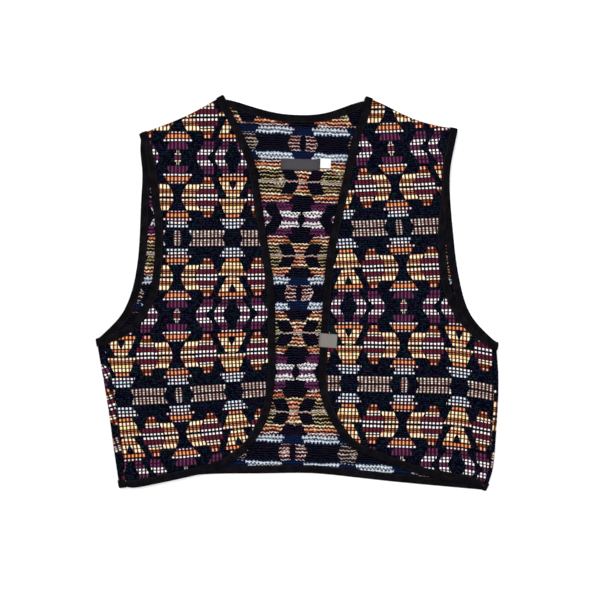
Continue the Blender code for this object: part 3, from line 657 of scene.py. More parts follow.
@dataclass(frozen=True)
class Jacquard:
    """Woven finish of both sides of the cloth, from the one chart.

    Attributes:
        width_scale: Width that counts as 1 on a figure's curve, in mm.
        relief: Real height of the bump, in metres.
        soft: How far the dark lines between bands fade, in mm; the fade paints the shade at the floats'
            rounded ends.
        widest_gap: Widest line between bands that is still a part of the figure, in mm.
        near_reach: How far from the hourglass axis the strands have its own colours, in mm.
        crossing: Half width of the break in the bluish bands, in mm.
        hole: Half width of the hole in the reverse's rings, in mm.
        crossing_part: Shares of the half repeat between which that break lies.
        bars: Share of the half repeat from which the pale bars and rings run.
        waist: Share of the half repeat where a line of weft crosses the hourglasses.
        slack: How far short of its inner side a band begins, in parts of width_scale.
    """

    width_scale: float = 50.0
    relief: float = 0.0007
    soft: float = 0.8
    widest_gap: float = 1.3
    near_reach: float = 17.0
    crossing: float = 13.0
    hole: float = 3.8
    crossing_part: Pair = (0.85, 0.9)
    bars: float = 0.905
    waist: float = 0.4975
    slack: float = 0.0002

    def profile(self, bands: tuple[Band, ...], side: str) -> list[Pair]:
        """Return the knots of a figure's "inner" or "outer" width along the warp."""
        knots = [(0.0, 0.0)] if bands[0].start > 0.0 else []
        before = 0.0
        for band in bands:
            if side == "outer" and band.start - before > self.widest_gap:
                knots += [(before + 0.1, 0.0), (band.start - 0.1, 0.0)]
            first, last = getattr(band, side)
            knots += [(band.start, first / self.width_scale), (band.end, last / self.width_scale)]
            before = band.end
        if CHART.length - before > self.widest_gap:
            knots.append((before + 0.1, 0.0))
        return self.fitted(knots)

    def gaps(self, bands: tuple[Band, ...]) -> list[Pair]:
        """Return the knots of the dark lines between a figure's bands, whose soft fade paints the shade at
        the floats' ends.
        """
        knots = [(0.0, 0.0)]
        for before, after in zip(bands, bands[1:]):
            knots += [(before.end - self.soft, 0.0), (before.end, 1.0),
                      (after.start, 1.0), (after.start + self.soft, 0.0)]
        return self.fitted(knots)

    def fitted(self, knots: list[Pair]) -> list[Pair]:
        """Return knots over the whole length, as shares of it."""
        if knots[-1][0] < CHART.length:
            knots.append((CHART.length, knots[-1][1]))
        return [(place / CHART.length, value) for place, value in knots]

    def yarn_place(self, dye: Dye, yarns: list[tuple[float, Yarn]], at: Value) -> Value:
        """Return the yarn's place in the palette, 0 to 1, from where each yarn starts."""
        stops = [(start, (yarn.place,) * 3 + (1.0,)) for start, yarn in yarns]
        return dye.value("ShaderNodeSeparateColor", {}, [dye.ramp(stops, at)])

    def figure(self, dye: Dye, bands: tuple[Band, ...], share: Value, distance: Value) -> Figure:
        """Return what a figure gives at a share of the half repeat and a distance from its axis."""
        inner, outer = (dye.curve(self.profile(bands, side), share) for side in ("inner", "outer"))
        across = distance / self.width_scale
        yarns = [(0.0, bands[0].yarn)]
        for before, after in zip(bands, bands[1:]):
            if after.yarn is not before.yarn:
                yarns.append(((before.end + after.start) / 2 / CHART.length, after.yarn))
        inside = (across > inner - self.slack) * (across < outer)
        return Figure(inside, self.yarn_place(dye, yarns, share), dye.curve(self.gaps(bands), share))

    def ribs(self, dye: Dye, ribs: tuple[Rib, ...], share: Value) -> Value:
        """Return the yarn's place on the reverse, at a share of the half repeat."""
        starts = [(max(rib.strand - 0.5, 0.0) / CHART.strands, rib.yarn) for rib in ribs]
        return self.yarn_place(dye, starts, share)

    def palette(self, dye: Dye, yarn: Value) -> list[Socket]:
        """Return the colour of a yarn, and of what shows between its picks."""
        half = 0.5 / YARN_COUNT
        return [
            dye.ramp([(max(entry.place - half, 0.0), srgb(*entry.value[which])) for entry in Yarn], yarn)
            for which in (1, 2)
        ]

    def is_yarn(self, place: Value, *yarns: Yarn) -> Value:
        """Return 1 where the palette place is one of some yarns."""
        return sum((place - yarn.place).math("ABSOLUTE") < 0.5 / YARN_COUNT for yarn in yarns)

    def dress(self, face: Face) -> Finish:
        """Make the finish of one side of the cloth."""
        dye = Dye("jacquard_" + face.name.lower())
        raw_column, raw_row = dye.threads()
        wander = dye.noise(90.0) - 0.5
        ripple = dye.noise(420.0, 1.0) - 0.5
        if face is Face.FACE:
            row = raw_row + wander * 0.5 + ripple * 0.22
            column = raw_column + ripple * 0.16
        else:
            wave = (raw_column * TURN + (wander + 0.5) * 7.0).math("SINE")
            row = raw_row + wander * 1.6 + ripple * 0.7 + wave * 0.15
            column = raw_column + ripple * 0.6
        share = row.pingpong(float(CHART.rows)) / float(CHART.rows)
        from_hourglass = column.pingpong(float(CHART.columns)) * CHART.column_width
        from_triangle = CHART.columns * CHART.column_width - from_hourglass
        from_diamond = (from_triangle - CHART.diamond_axis).math("ABSOLUTE")
        hourglass = self.figure(dye, CHART.hourglass, share, from_hourglass)
        triangle = self.figure(dye, CHART.triangle, share, from_triangle)
        diamond = self.figure(dye, CHART.diamond, share, from_diamond)
        ring = self.figure(dye, CHART.ring, share, from_triangle)
        beside_row = row.pingpong(0.5)
        if face is Face.FACE:
            return self.face(dye, (hourglass, triangle, diamond, ring), column.pingpong(0.5), beside_row)
        rib = row * (CHART.strands / CHART.rows)
        strand = (rib + 0.5).math("FLOOR")
        last = share > self.bars
        told = strand.pingpong(float(CHART.strands)) / float(CHART.strands) + last * (1.0 / CHART.strands)
        close = from_hourglass < self.near_reach
        near, far = (self.ribs(dye, ribs, told) for ribs in (CHART.reverse_near, CHART.reverse_far))
        yarn = near * close + far * (1.0 - close)
        hole = hourglass.inside * (1.0 - last * (from_hourglass > self.hole))
        first, end = self.crossing_part
        crossing = (from_hourglass < self.crossing) * (share > first) * (share < end)
        hidden = (hole + triangle.inside + ring.inside + diamond.inside * last + crossing).clamp()
        middle = 1.0 - (share - self.waist).math("ABSOLUTE").step(0.004, 0.012)
        knots = ((column + strand * 0.5) * TURN).math("SINE")
        return self.reverse(dye, 1.0 - hidden, yarn, (rib.pingpong(0.5), beside_row, knots, middle))

    def face(self, dye: Dye, figures: tuple[Figure, ...], beside_column: Value, beside_row: Value) -> Finish:
        """Dress the face: raised blocks of weft, cut by dark warp lines with painted shade at their soft
        edges, on a ribbed ground.
        """
        motif = sum(figure.inside for figure in figures).clamp()
        yarn = sum(figure.inside * figure.yarn for figure in figures)
        gap = sum(figure.inside * figure.gap for figure in figures)
        main, between = self.palette(dye, yarn)
        lint = dye.noise(2600.0)
        patch = dye.noise(60.0)
        tone = dye.noise(210.0, 1.0)
        cream = self.is_yarn(yarn, Yarn.CREAM, Yarn.YELLOW, Yarn.IVORY)
        wide = cream + self.is_yarn(yarn, Yarn.WHITE, Yarn.BLUISH)
        # Warp lines and gaps are dark threads. Their soft falloff and the near-black coat over them also
        # paint the shade where each float curves down.
        line = 1.0 - (beside_column + (lint - 0.5) * 0.12 + wide * 0.07).step(0.17, 0.44)
        cut = (gap + (lint - 0.5) * 0.3).clamp()
        bare = (1.0 - line) * (1.0 - cut)
        light = cream * bare
        bar = self.is_yarn(yarn, Yarn.PALE) * bare
        threads = dye.paint(
            dye.mix(line.math("MAXIMUM", cut), main, between),
            ((cut * 0.75 + line * 0.45).clamp(), (6, 3, 4)),
            ((lint * 0.5 + patch * 0.3).clamp() * 0.35, (70, 40, 40)),
            (tone.step(0.54, 0.64) * light * 0.35, (176, 204, 116)),
            ((1.0 - tone).step(0.53, 0.62) * light * 0.5, (214, 116, 60)),
            (tone.step(0.50, 0.60) * bar * 0.6, (240, 236, 230)),
            ((1.0 - tone).step(0.50, 0.60) * bar * 0.5, (176, 118, 122)),
        )
        colour = dye.mix(motif, self.ground(dye, beside_row, patch), threads)
        pad = (1.0 - gap.clamp()) * beside_column.step(0.0, 0.32)
        rib = beside_row.step(0.0, 0.45) * 0.3
        height = motif * (pad * 0.8 + 0.2) + (1.0 - motif) * rib + lint * 0.12
        return dye.finish(colour, 0.9 - motif * 0.1, dye.bump(height, self.relief, 0.9))

    def ground(self, dye: Dye, beside_row: Value, patch: Value) -> Socket:
        """Return the dark ground, tinted by the yarns that run beneath it."""
        speck = dye.noise(420.0, 3.0)
        other = dye.noise(300.0, 3.0)
        return dye.paint(
            srgb(1, 2, 7),
            (patch.step(0.42, 0.6), (4, 1, 6)),
            (speck.step(0.48, 0.66), (12, 26, 46)),
            (other.step(0.54, 0.68), (14, 30, 28)),
            ((1.0 - other).step(0.54, 0.68), (30, 12, 34)),
            ((1.0 - beside_row.step(0.06, 0.34)) * 0.7, (0, 0, 2)),
        )

    def reverse(self, dye: Dye, floats: Value, yarn: Value, weave: tuple[Value, ...]) -> Finish:
        """Dress the reverse: wavy strands of floating weft, bright where the face is dark."""
        beside_strand, beside_row, knots, middle = weave
        main, between = self.palette(dye, yarn)
        lint = dye.noise(2200.0)
        fleck = dye.noise(300.0)
        patch = dye.noise(75.0)
        blue = self.is_yarn(yarn, Yarn.BLUISH, Yarn.BLUE)
        dense = self.is_yarn(yarn, Yarn.WHITE, Yarn.BLUISH, Yarn.PURPLE)
        sparse = self.is_yarn(yarn, Yarn.OLIVE, Yarn.PALE, Yarn.PINK)
        mixed = 1.0 - (dense + self.is_yarn(yarn, Yarn.BLUE, Yarn.PALE)).clamp()
        strand = 1.0 - (beside_strand + (lint - 0.5) * 0.16 + sparse * 0.07).step(0.12, 0.26)
        net = (patch.step(0.56, 0.62) + dense).clamp() * (knots * 0.7 + lint * 0.6 + 0.05).clamp()
        cover = strand.math("MAXIMUM", net * 0.55).math("MAXIMUM", middle * 0.7)
        threads = dye.paint(
            main,
            (fleck.step(0.50, 0.60) * mixed * 0.7, (220, 116, 74)),
            ((1.0 - fleck).step(0.54, 0.64) * mixed * 0.7, (246, 234, 208)),
        )
        threads = dye.mix(1.0 - cover, threads, dye.paint(between, (0.6, (4, 4, 8))))
        threads = dye.paint(threads, ((1.0 - knots) * 0.16 + fleck * 0.4, (12, 8, 12)))
        stripe = (beside_row + (lint - 0.5) * 0.2).step(0.28, 0.46)
        dark = dye.paint(
            srgb(0, 0, 3),
            (stripe * (0.2 + fleck), (30, 32, 46)),
            (blue * (stripe * 0.7 + 0.2), (16, 32, 66)),
            ((1.0 - patch).step(0.52, 0.66) * 0.4, (22, 6, 26)),
        )
        height = cover * (floats * 0.5 + 0.1) + stripe * 0.3 + lint * 0.2
        return dye.finish(dye.mix(floats, dark, threads), 0.9, dye.bump(height, self.relief * 1.2, 1.0))


@dataclass(frozen=True)
class Tape:
    """Finish of the binding: matt charcoal tape with a fine slanted twill."""

    colour: Place = (8, 7, 9)
    worn: Place = (24, 22, 26)
    twill: float = 0.9

    def dress(self) -> Finish:
        """Make the finish."""
        dye = Dye("binding_tape")
        x, y = dye.split(dye.place())
        cross = ((x + y) * (TURN / MM / self.twill)).wave()
        lint = dye.noise(2400.0, 3.0)
        cloud = dye.noise(110.0, 3.0)
        colour = dye.paint(
            srgb(*self.colour),
            (cloud.step(0.35, 0.75) * 0.5, self.worn),
            (cross * 0.35, (6, 5, 9)),
            (lint.step(0.6, 0.8) * 0.4, (60, 56, 68)),
        )
        height = cross * 0.5 + lint * 0.5 + cloud * 0.4
        return dye.finish(colour, 0.8, dye.bump(height, 0.0002, 0.8))


@dataclass(frozen=True)
class Thread:
    """Finish of sewing thread."""

    name: str
    colour: Place

    def dress(self) -> Finish:
        """Make the finish."""
        dye = Dye(self.name)
        x, y = dye.split(dye.place())
        ply = ((x - y) * 9000.0).wave()
        colour = dye.paint(srgb(*self.colour), (ply * 0.4, [channel * 0.5 for channel in self.colour]))
        return dye.finish(colour, 0.6, dye.bump(ply, 0.0001, 0.6), 0.2)


@dataclass(frozen=True)
class Satin:
    """Finish of a bare woven label.

    Attributes:
        name: The material's name.
        colour: Ground, in sRGB.
        turn: Its turn in plan, in degrees.
        pick: Pitch of the picks across, in mm.
        end: Pitch of the ends along, in mm.
    """

    name: str
    colour: Place
    turn: float
    pick: float = 0.42
    end: float = 0.6

    def dress(self) -> Finish:
        """Make the finish: fine picks across, finer ends along."""
        dye = Dye(self.name)
        x, y = dye.split(dye.place())
        cosine = math.cos(math.radians(self.turn)) * TURN / MM
        sine = math.sin(math.radians(self.turn)) * TURN / MM
        pick = ((y * cosine - x * sine) / self.pick).wave()
        end = ((x * cosine + y * sine) / self.end).wave()
        lint = dye.noise(2600.0)
        shade = [channel * 0.7 for channel in self.colour]
        colour = dye.paint(srgb(*self.colour), (pick * 0.45 + lint * 0.3, shade))
        height = pick * 0.5 + end * 0.25 + lint * 0.25
        return dye.finish(colour, 0.5, dye.bump(height, 0.00012, 0.7), 0.1)


@dataclass(frozen=True)
class Crease:
    """A soft trough or ridge in the laid cloth.

    Attributes:
        start: Plan place of one end, in mm.
        end: Plan place of the other end.
        width: Half width of its swell.
        height: Its rise.
        bow: How far its middle is pushed sideways.
    """

    start: Pair
    end: Pair
    width: float
    height: float
    bow: float

    def lift(self, points: np.ndarray) -> np.ndarray:
        """Return the rise at each plan point, in mm."""
        start = np.array(self.start)
        along = np.array(self.end) - start
        length = float(np.hypot(*along))
        along /= length
        across = np.array((-along[1], along[0]))
        away = points - start
        share = (away @ along) / length
        arch = np.sin(np.clip(share, 0.0, 1.0) * math.pi)
        side = (away @ across - self.bow * arch) / self.width
        beyond = np.maximum(np.abs(share - 0.5) - 0.5, 0.0) * length / self.width
        return self.height * np.exp(-side ** 2 - beyond ** 2) * arch ** 0.7


FRONT_CREASES = {
    Side.RIGHT: (
        Crease((-160.0, 60.0), (-120.0, 175.0), 9.0, 0.9, 5.0),
        Crease((-200.0, -62.0), (-150.0, -25.0), 8.0, 1.0, 3.0),
        Crease((-214.0, -84.0), (-168.0, -118.0), 9.0, 0.9, -4.0),
        Crease((-78.0, -60.0), (-62.0, 90.0), 10.0, 0.8, 6.0),
        Crease((-190.0, -196.0), (-120.0, -168.0), 9.0, 1.1, 6.0),
        Crease((-112.0, -90.0), (-98.0, -20.0), 7.0, 0.7, -3.0),
        Crease((-70.0, -170.0), (-52.0, -110.0), 8.0, 0.8, 4.0),
        Crease((-150.0, 176.0), (-104.0, 200.0), 7.0, 0.7, 2.0),
    ),
    Side.LEFT: (
        Crease((150.0, 60.0), (118.0, 170.0), 9.0, 0.9, -5.0),
        Crease((198.0, -66.0), (150.0, -22.0), 8.0, 1.1, -3.0),
        Crease((226.0, -96.0), (176.0, -150.0), 10.0, 1.0, 5.0),
        Crease((64.0, -80.0), (76.0, 70.0), 10.0, 0.7, -6.0),
        Crease((206.0, -202.0), (132.0, -184.0), 9.0, 1.1, -5.0),
        Crease((100.0, -120.0), (120.0, -40.0), 8.0, 0.8, 4.0),
        Crease((54.0, -150.0), (84.0, -108.0), 8.0, 0.7, 3.0),
        Crease((102.0, 196.0), (150.0, 178.0), 7.0, 0.7, -2.0),
    ),
}
BACK_CREASES = (
    Crease((-12.0, 120.0), (6.0, 196.0), 10.0, 0.5, 3.0),
    Crease((-30.0, -150.0), (20.0, -60.0), 12.0, 0.6, 5.0),
    Crease((10.0, -190.0), (70.0, -176.0), 9.0, 0.6, 3.0),
)


def linked(name: str, data: bpy.types.ID) -> bpy.types.Object:
    """Return a new object of some data, linked to the scene."""
    made = bpy.data.objects.new(name, data)
    bpy.context.scene.collection.objects.link(made)
    return made


def evaluated(name: str, source: bpy.types.Object) -> bpy.types.Object:
    """Replace an object that has modifiers by a plain smooth one of that name."""
    mesh = bpy.data.meshes.new_from_object(source.evaluated_get(bpy.context.evaluated_depsgraph_get()))
    mesh.name = name
    bpy.data.objects.remove(source)
    mesh.shade_smooth()
    return linked(name, mesh)


def frame_copy(frame: dict, node: str) -> bmesh.types.BMesh:
    """Return a welded copy of a frame node's mesh."""
    shell = bmesh.new()
    shell.from_mesh(frame["nodes"][node].data)
    bmesh.ops.remove_doubles(shell, verts=shell.verts, dist=WELD)
    LOG.info("%s: %d faces from the frame", node, len(shell.faces))
    return shell


def wall_sides(shell: bmesh.types.BMesh, sharp: float) -> list[list[bmesh.types.BMFace]]:
    """Return the faces of a wall's two sides, by walking over edges that aren't sharp.

    Args:
        shell: The wall.
        sharp: Angle from which an edge is a border, in radians.
    """
    shell.faces.ensure_lookup_table()
    seen: set[int] = set()
    groups: list[list[bmesh.types.BMFace]] = []
    for first in shell.faces:
        if first.index in seen:
            continue
        seen.add(first.index)
        group = [first]
        for current in group:
            for edge in current.edges:
                if len(edge.link_faces) != 2 or edge.calc_face_angle(0.0) > sharp:
                    continue
                fresh = [face for face in edge.link_faces if face.index not in seen]
                seen.update(face.index for face in fresh)
                group += fresh
        groups.append(group)
    groups.sort(key=lambda group: -sum(face.calc_area() for face in group))
    return groups[:2]


def smoothed(name: str, shell: bmesh.types.BMesh, levels: int, finishes: list[Finish]) -> bpy.types.Object:
    """Turn a shell into a plain object whose surface is subdivided.

    Args:
        name: The piece's name.
        shell: Its coarse mesh, freed here.
        levels: How often it is subdivided.
        finishes: Its material slots.
    """
    mesh = bpy.data.meshes.new(name + "_coarse")
    shell.to_mesh(mesh)
    shell.free()
    for finish in finishes:
        mesh.materials.append(finish)
    coarse = linked(name + "_coarse", mesh)
    finer = coarse.modifiers.new("Finer", "SUBSURF")
    finer.levels = levels
    finer.render_levels = levels
    return evaluated(name, coarse)


def read_points(mesh: bpy.types.Mesh, attribute: str = "co") -> np.ndarray:
    """Return a mesh's points in mm, or their normals with no unit for "normal"."""
    numbers = np.empty(len(mesh.vertices) * 3)
    mesh.vertices.foreach_get(attribute, numbers)
    return numbers.reshape(-1, 3) / (MM if attribute == "co" else 1.0)


def write_points(mesh: bpy.types.Mesh, points: np.ndarray) -> None:
    """Write a mesh's points, given in mm."""
    mesh.vertices.foreach_set("co", (points * MM).ravel())
    mesh.update()


def waviness(points: np.ndarray, size: float) -> np.ndarray:
    """Return smooth noise at points, with waves of a size in mm."""
    return np.array([noise.noise(Vector(point) / size) for point in points])


@dataclass(frozen=True)
class Drape:
    """The small creases of the laid cloth, which its bindings follow.

    Attributes:
        creases: The panel's creases.
        held: Folds beside which they fade out.
        settle: How far from a fold they reach their full height, in mm.
        layers: Heights between which points pass from the lower layer to the upper.
    """

    creases: tuple[Crease, ...] = ()
    held: tuple[FoldLine, ...] = ()
    settle: float = 14.0
    layers: Pair = (4.3, 5.2)

    def lift(self, points: np.ndarray, upper_only: bool = False) -> np.ndarray:
        """Return the rise of each point, in mm.

        Args:
            points: Points with height, in mm.
            upper_only: Whether points of the lower layer stay as they are.
        """
        plan = points[:, :2]
        rise = np.zeros(len(points))
        for crease in self.creases:
            rise += crease.lift(plan)
        for fold in self.held:
            rise *= np.clip(fold.line.depth(plan) / self.settle, 0.0, 1.0)
        if upper_only:
            low, high = self.layers
            rise *= np.clip((points[:, 2] - low) / (high - low), 0.0, 1.0)
        return rise


@dataclass
class Piece:
    """Something sewn that stands for one of the frame's nodes.

    Attributes:
        node: The frame's node.
        slot: The record's slot for the piece; not used.
        piece: What shows, once it is built.
    """

    node: str
    slot: str
    piece: bpy.types.Object = field(init=False)

    def declare(self) -> None:
        """Attach the piece to the body and hide the frame's node."""
        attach(self.piece, BODY)
        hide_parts(self.node)


@dataclass
class Panel(Piece):
    """One cut panel of the cloth: a thin shell on its solid's form.

    Attributes:
        drape: Its creases.
        folds: Folds over which it turns.
        face_up: Whether its face looks up where it lies flat.
        flat: Width and length of its cut, in metres; not used.
        area: Flat area of its cut, in square metres; not used.
        border: Angle of the edges between its sides and its rim, in degrees.
    """

    drape: Drape
    folds: tuple[FoldLine, ...]
    face_up: bool
    flat: Pair
    area: float
    border: float = 66.0

    def build(self, frame: dict, finishes: list[Finish]) -> None:
        """Make the panel's mesh, creases and pattern places.

        Args:
            frame: The loaded frame.
            finishes: The cloth's finishes, face and reverse.
        """
        shell = frame_copy(frame, self.node)
        sides = wall_sides(shell, math.radians(self.border))
        upward = [sum(face.normal.z * face.calc_area() for face in side) for side in sides]
        first_is_up = upward[0] > upward[1]
        for face in sides[int(first_is_up == self.face_up)]:
            face.material_index = Face.REVERSE.value
        self.piece = smoothed("cloth_" + self.node, shell, SUBDIVISIONS, finishes)
        mesh = self.piece.data
        points = read_points(mesh)
        self.lay_pattern(mesh, points)
        points[:, 2] += self.drape.lift(points)
        write_points(mesh, points)
        LOG.info("%s: %d faces", self.node, len(mesh.polygons))

    def lay_pattern(self, mesh: bpy.types.Mesh, points: np.ndarray) -> None:
        """Write the pattern's columns and rows to the UV map, for the mesh's points in mm."""
        laid = points.copy()
        for fold in self.folds:
            laid[:, :2] = fold.unfold(laid)
        places = np.column_stack(LAYS[self.node].threads(laid[:, 0], laid[:, 1]))
        corners = np.empty(len(mesh.loops), dtype=np.int32)
        mesh.loops.foreach_get("vertex_index", corners)
        mesh.uv_layers.new(name="weave").data.foreach_set("uv", places[corners].ravel())

    def lie(self, rests_on: list[str], with_pieces: list[bpy.types.Object]) -> None:
        """Attach the panel to the body and hide the frame's node."""
        self.declare()


@dataclass
class Seam:
    """A row of lock stitches, in mm, repeated along lines by Geometry Nodes.

    Attributes:
        finish: The thread's finish.
        pitch: Distance from stitch to stitch.
        length: Length of a stitch.
        thickness: Its thickness.
        set_in: Distance of the row from the bound edge.
        sunk: How deep it lies in the tape's upper side, and in its lower side.
        skipped: Samples that it leaves out at each end of an edge.
        reach: Height from which the tape's sides are looked for.
        tree: The node tree, made here.
        inputs: Identifiers of its inputs.
    """

    finish: Finish
    pitch: float = 3.1
    length: float = 2.3
    thickness: float = 0.6
    set_in: float = 8.5
    sunk: Pair = (0.1, 0.25)
    skipped: int = 2
    reach: float = 40.0
    tree: bpy.types.NodeTree = field(init=False)
    inputs: dict[str, str] = field(default_factory=dict)

    def __post_init__(self) -> None:
        """Make the node tree that turns lines into stitches."""
        self.tree = bpy.data.node_groups.new("stitches", "GeometryNodeTree")
        sockets = self.tree.interface
        sockets.new_socket("Geometry", in_out="INPUT", socket_type="NodeSocketGeometry")
        sockets.new_socket("Geometry", in_out="OUTPUT", socket_type="NodeSocketGeometry")
        for name in ("Pitch", "Length", "Thickness"):
            item = sockets.new_socket(name, in_out="INPUT", socket_type="NodeSocketFloat")
            self.inputs[name] = item.identifier
        node = NodeBuilder(self.tree).node
        given = node("NodeGroupInput", {}, []).outputs
        size = node("ShaderNodeCombineXYZ", {}, [given["Length"], given["Thickness"], given["Thickness"]])
        bead = node("GeometryNodeMeshUVSphere", {}, {"Segments": 6, "Rings": 4, "Radius": 0.5})
        curve = node("GeometryNodeMeshToCurve", {}, {"Mesh": given["Geometry"]})
        spaced = node("GeometryNodeResampleCurve", {"mode": "LENGTH"}, {
            "Curve": curve.outputs["Curve"], "Length": given["Pitch"]})
        points = node("GeometryNodeCurveToPoints", {"mode": "EVALUATED"}, {"Curve": spaced.outputs["Curve"]})
        turn = node("FunctionNodeAlignRotationToVector", {"axis": "X"}, {"Vector": points.outputs["Tangent"]})
        copies = node("GeometryNodeInstanceOnPoints", {}, {
            "Points": points.outputs["Points"], "Instance": bead.outputs["Mesh"],
            "Rotation": turn.outputs["Rotation"], "Scale": size.outputs["Vector"]})
        real = node("GeometryNodeRealizeInstances", {}, {"Geometry": copies.outputs["Instances"]})
        dressed = node("GeometryNodeSetMaterial", {}, {
            "Geometry": real.outputs["Geometry"], "Material": self.finish})
        node("NodeGroupOutput", {}, {"Geometry": dressed.outputs["Geometry"]})

    def sew(self, name: str, piece: bpy.types.Object, edges: tuple[PlanLine, ...]) -> bpy.types.Object:
        """Make one plain mesh of all the stitches beside a strip's edges.

        Args:
            name: Name for the stitches.
            piece: The strip.
            edges: The bound edges.
        """
        places: list[Place] = []
        links: list[tuple[int, int]] = []
        for edge in edges:
            plan = (edge.points + edge.inward * self.set_in)[self.skipped:-self.skipped]
            for line in self.surface_lines(piece, plan):
                links += [(index, index + 1) for index in range(len(places), len(places) + len(line) - 1)]
                places += line
        mesh = bpy.data.meshes.new(name + "_lines")
        mesh.from_pydata(places, links, [])
        lines = linked(name + "_lines", mesh)
        modifier = lines.modifiers.new("Stitches", "NODES")
        modifier.node_group = self.tree
        for key, size in (("Pitch", self.pitch), ("Length", self.length), ("Thickness", self.thickness)):
            modifier[self.inputs[key]] = size * MM
        return evaluated(name, lines)

    def surface_lines(self, piece: bpy.types.Object, plan: np.ndarray) -> list[list[Place]]:
        """Lay a plan line on a strip's upper and lower side, sunk a little into it.

        Args:
            piece: The strip, at the origin.
            plan: Plan points, in mm.

        Returns:
            The lines that were found, in metres.
        """
        corners = [vertex.co / MM for vertex in piece.data.vertices]
        tree = BVHTree.FromPolygons(corners, [polygon.vertices for polygon in piece.data.polygons])
        lines = []
        for way, sunk in zip((-1.0, 1.0), self.sunk):
            ray = Vector((0.0, 0.0, way))
            hits = [tree.ray_cast(Vector((x, y, -way * self.reach)), ray)[0] for x, y in plan]
            line = [tuple((hit + ray * sunk) * MM) for hit in hits if hit is not None]
            if len(line) > 1:
                lines.append(line)
        return lines


@dataclass
class Binding(Piece):
    """A folded strip that holds a cut edge.

    Attributes:
        drape: The creases of the cloth that it holds.
        edges: The bound edges that it follows.
        puckers: Height and size of the waves that sewing leaves, in mm.
        stitches: Its row of stitches, once it is sewn.
    """

    drape: Drape
    edges: tuple[PlanLine, ...]
    puckers: Table = ((0.10, 7.0), (0.16, 26.0))
    stitches: bpy.types.Object = field(init=False)

    def build(self, frame: dict, finish: Finish, seam: Seam) -> None:
        """Make the strip with its small puckers and its row of stitches.

        Args:
            frame: The loaded frame.
            finish: The tape's finish.
            seam: The row of stitches.
        """
        self.piece = smoothed(self.node + "_tape", frame_copy(frame, self.node), SUBDIVISIONS, [finish])
        mesh = self.piece.data
        normals = read_points(mesh, "normal")
        points = read_points(mesh)
        swell = sum(waviness(points, size) * height for height, size in self.puckers)
        upward = np.abs(np.clip(normals[:, 2], -0.2, 1.0))
        points += normals * (swell * upward)[:, None]
        points[:, 2] += self.drape.lift(points, upper_only=True)
        write_points(mesh, points)
        self.stitches = seam.sew(self.node + "_stitches", self.piece, self.edges)
        self.declare()
        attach(self.stitches, BODY)


@dataclass
class SewnLabel(Piece):
    """A small woven label.

    Attributes:
        finish: Its finish.
        cuts: Cuts across each edge of its solid.
        waves: Height and size of its waves, in mm.
    """

    finish: Satin
    cuts: int = 3
    waves: Pair = (0.12, 5.0)

    def build(self, frame: dict) -> None:
        """Make the label's mesh, a little wavy."""
        height, size = self.waves
        shell = frame_copy(frame, self.node)
        bmesh.ops.subdivide_edges(shell, edges=shell.edges, cuts=self.cuts, use_grid_fill=True)
        self.piece = smoothed(self.node + "_woven", shell, 0, [self.finish.dress()])
        points = read_points(self.piece.data)
        points[:, 2] += waviness(points, size) * height
        write_points(self.piece.data, points)
        self.declare()


@dataclass(frozen=True)
class Studio:
    """Pale floor, soft light and a camera straight above.

    Attributes:
        frame_width: Width of the picture at the floor, in metres.
        lens: Focal length, in mm.
        sensor: Width of the sensor, in mm.
        aim: Plan place under the camera, in metres.
        half_floor: Half the floor's side, in metres.
        floor_level: Height of the floor, in metres.
        world: Strength of the white surroundings.
        lights: Name, place and size in metres, and power in watts of each light.
    """

    frame_width: float = 0.72
    lens: float = 85.0
    sensor: float = 36.0
    aim: Pair = (0.0034, -0.0086)
    half_floor: float = 4.0
    floor_level: float = -0.0002
    world: float = 0.55
    lights: tuple[tuple[str, Place, float, float], ...] = (
        ("key", (-0.7, 0.9, 1.9), 1.3, 26.0),
        ("fill", (0.9, -0.4, 1.8), 1.4, 16.0),
        ("top", (0.0, 0.0, 2.6), 2.4, 34.0),
    )

    def build(self) -> None:
        """Make the floor, the lights, the surroundings and the camera."""
        scene = bpy.context.scene
        self.add_floor()
        for name, place, size, power in self.lights:
            data = bpy.data.lights.new(name, "AREA")
            data.size = size
            data.energy = power
            light = linked(name, data)
            light.location = place
            light.rotation_euler = (-Vector(place)).to_track_quat("-Z", "Y").to_euler()
        scene.world = bpy.data.worlds.new("studio")
        scene.world.use_nodes = True
        backdrop = scene.world.node_tree.nodes["Background"]
        backdrop.inputs[0].default_value = (1.0, 1.0, 1.0, 1.0)
        backdrop.inputs[1].default_value = self.world
        scene.view_settings.view_transform = "Standard"
        data = bpy.data.cameras.new("camera")
        data.lens = self.lens
        data.sensor_width = self.sensor
        scene.camera = linked("camera", data)
        scene.camera.location = (*self.aim, self.frame_width * self.lens / self.sensor)

    def add_floor(self) -> None:
        """Make the floor that the vest lies on."""
        mesh = bpy.data.meshes.new("floor")
        corners = [(x * self.half_floor, y * self.half_floor, self.floor_level)
                   for x, y in ((-1, -1), (1, -1), (1, 1), (-1, 1))]
        mesh.from_pydata(corners, [], [(0, 1, 2, 3)])
        dye = Dye("floor_paint")
        grain = dye.noise(900.0)
        colour = dye.mix(grain, (0.86, 0.86, 0.86, 1.0), (0.89, 0.89, 0.89, 1.0))
        mesh.materials.append(dye.finish(colour, 0.9, dye.bump(grain, 0.00005, 0.3)))
        linked("floor", mesh)


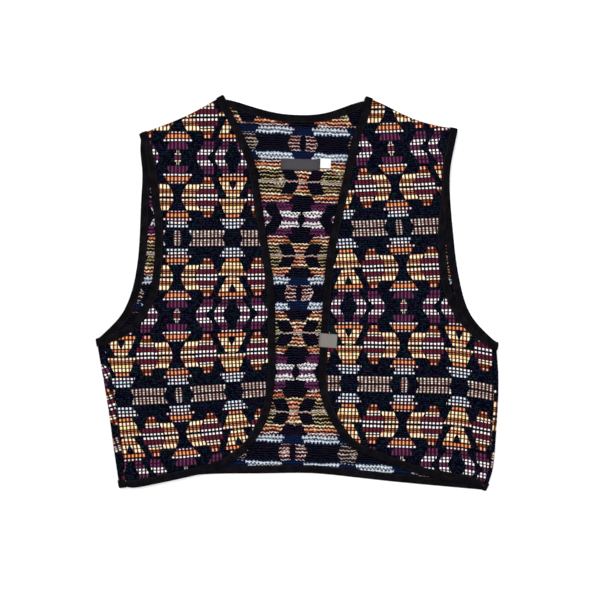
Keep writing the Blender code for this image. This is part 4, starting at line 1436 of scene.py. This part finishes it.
@dataclass
class Vest:
    """The whole garment: panels, bindings and labels.

    Attributes:
        back_level: Height of the back's middle at the side folds, in mm.
        front_level: Height of the fronts' middle at the shoulder folds, in mm.
        back_flat: Width and length of the back's cut, in metres.
        back_area: Its area, in square metres.
        front_flat: Width and length of each front's cut, in metres.
        front_area: Its area, in square metres.
    """

    back_level: float = 2.1
    front_level: float = 7.5
    back_flat: Pair = (0.506, 0.467)
    back_area: float = 0.183
    front_flat: Pair = (0.204, 0.480)
    front_area: float = 0.067

    def __post_init__(self) -> None:
        """Set out the garment's parts."""
        still = Drape()
        sides = {}
        for side in Side:
            sides[side] = FoldLine(PlanLine(SIDE_FOLD[side], side.value), self.back_level, True)
        both = tuple(sides.values())
        drape = Drape(BACK_CREASES, both)
        self.back = Panel("back", "jacquard_back", drape, both, False, self.back_flat, self.back_area)
        self.fronts: dict[Side, Panel] = {}
        self.bindings = [
            Binding("neck_binding", "binding_neck", still, (PlanLine(BACK_NECK, 1),)),
            Binding("hem_binding", "binding_hem", still, (PlanLine(BACK_HEM, -1),)),
        ]
        for side in Side:
            way = side.value
            shoulder = FoldLine(PlanLine(SHOULDER_FOLD[side], way), self.front_level, False)
            drape = Drape(FRONT_CREASES[side], (shoulder, sides[side]))
            node = "front_" + side.word
            self.fronts[side] = Panel(
                node, "jacquard_" + node, drape, (shoulder,), True, self.front_flat, self.front_area)
            opening = (PlanLine(FRONT_OPENING[side], -way),)
            armhole = (PlanLine(FRONT_ARMHOLE[side], way), PlanLine(BACK_ARMHOLE[side], way))
            for kind, edges in (("front", opening), ("armhole", armhole)):
                name = f"{kind}_binding_{side.word}"
                self.bindings.append(Binding(name, f"binding_{kind}_{side.word}", drape, edges))
        self.labels = [
            SewnLabel("neck_label", "label_grey", Satin("label_grey", (68, 65, 71), -1.6)),
            SewnLabel("size_label", "label_white", Satin("label_white", (250, 250, 250), -1.6)),
            SewnLabel("edge_tab", "tab_grey", Satin("tab_grey", (122, 116, 112), 0.0)),
        ]

    def build(self, frame: dict) -> None:
        """Make every piece of the loaded frame's vest, attach it to the body and hide its node."""
        jacquard = Jacquard()
        finishes = [jacquard.dress(face) for face in Face]
        tape = Tape().dress()
        seam = Seam(Thread("black_thread", (22, 21, 26)).dress())
        for binding in self.bindings:
            binding.build(frame, tape, seam)
            LOG.info("%s done", binding.node)
        for label in self.labels:
            label.build(frame)
            LOG.info("%s done", label.node)
        tapes = {binding.node: binding.piece for binding in self.bindings}
        self.back.build(frame, finishes)
        self.back.lie(["floor"], [tapes["neck_binding"], tapes["hem_binding"]])
        for side, panel in self.fronts.items():
            panel.build(frame, finishes)
            own = [tapes[kind + "_binding_" + side.word] for kind in ("front", "armhole")]
            panel.lie(["cloth_back"], own)
        LOG.info("panels done")


def main() -> None:
    """Build the scene in order."""
    logging.basicConfig(level=logging.INFO, format="%(name)s %(message)s")
    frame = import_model()
    Studio().build()
    Vest().build(frame)
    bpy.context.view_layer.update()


if __name__ == "__main__":
    main()
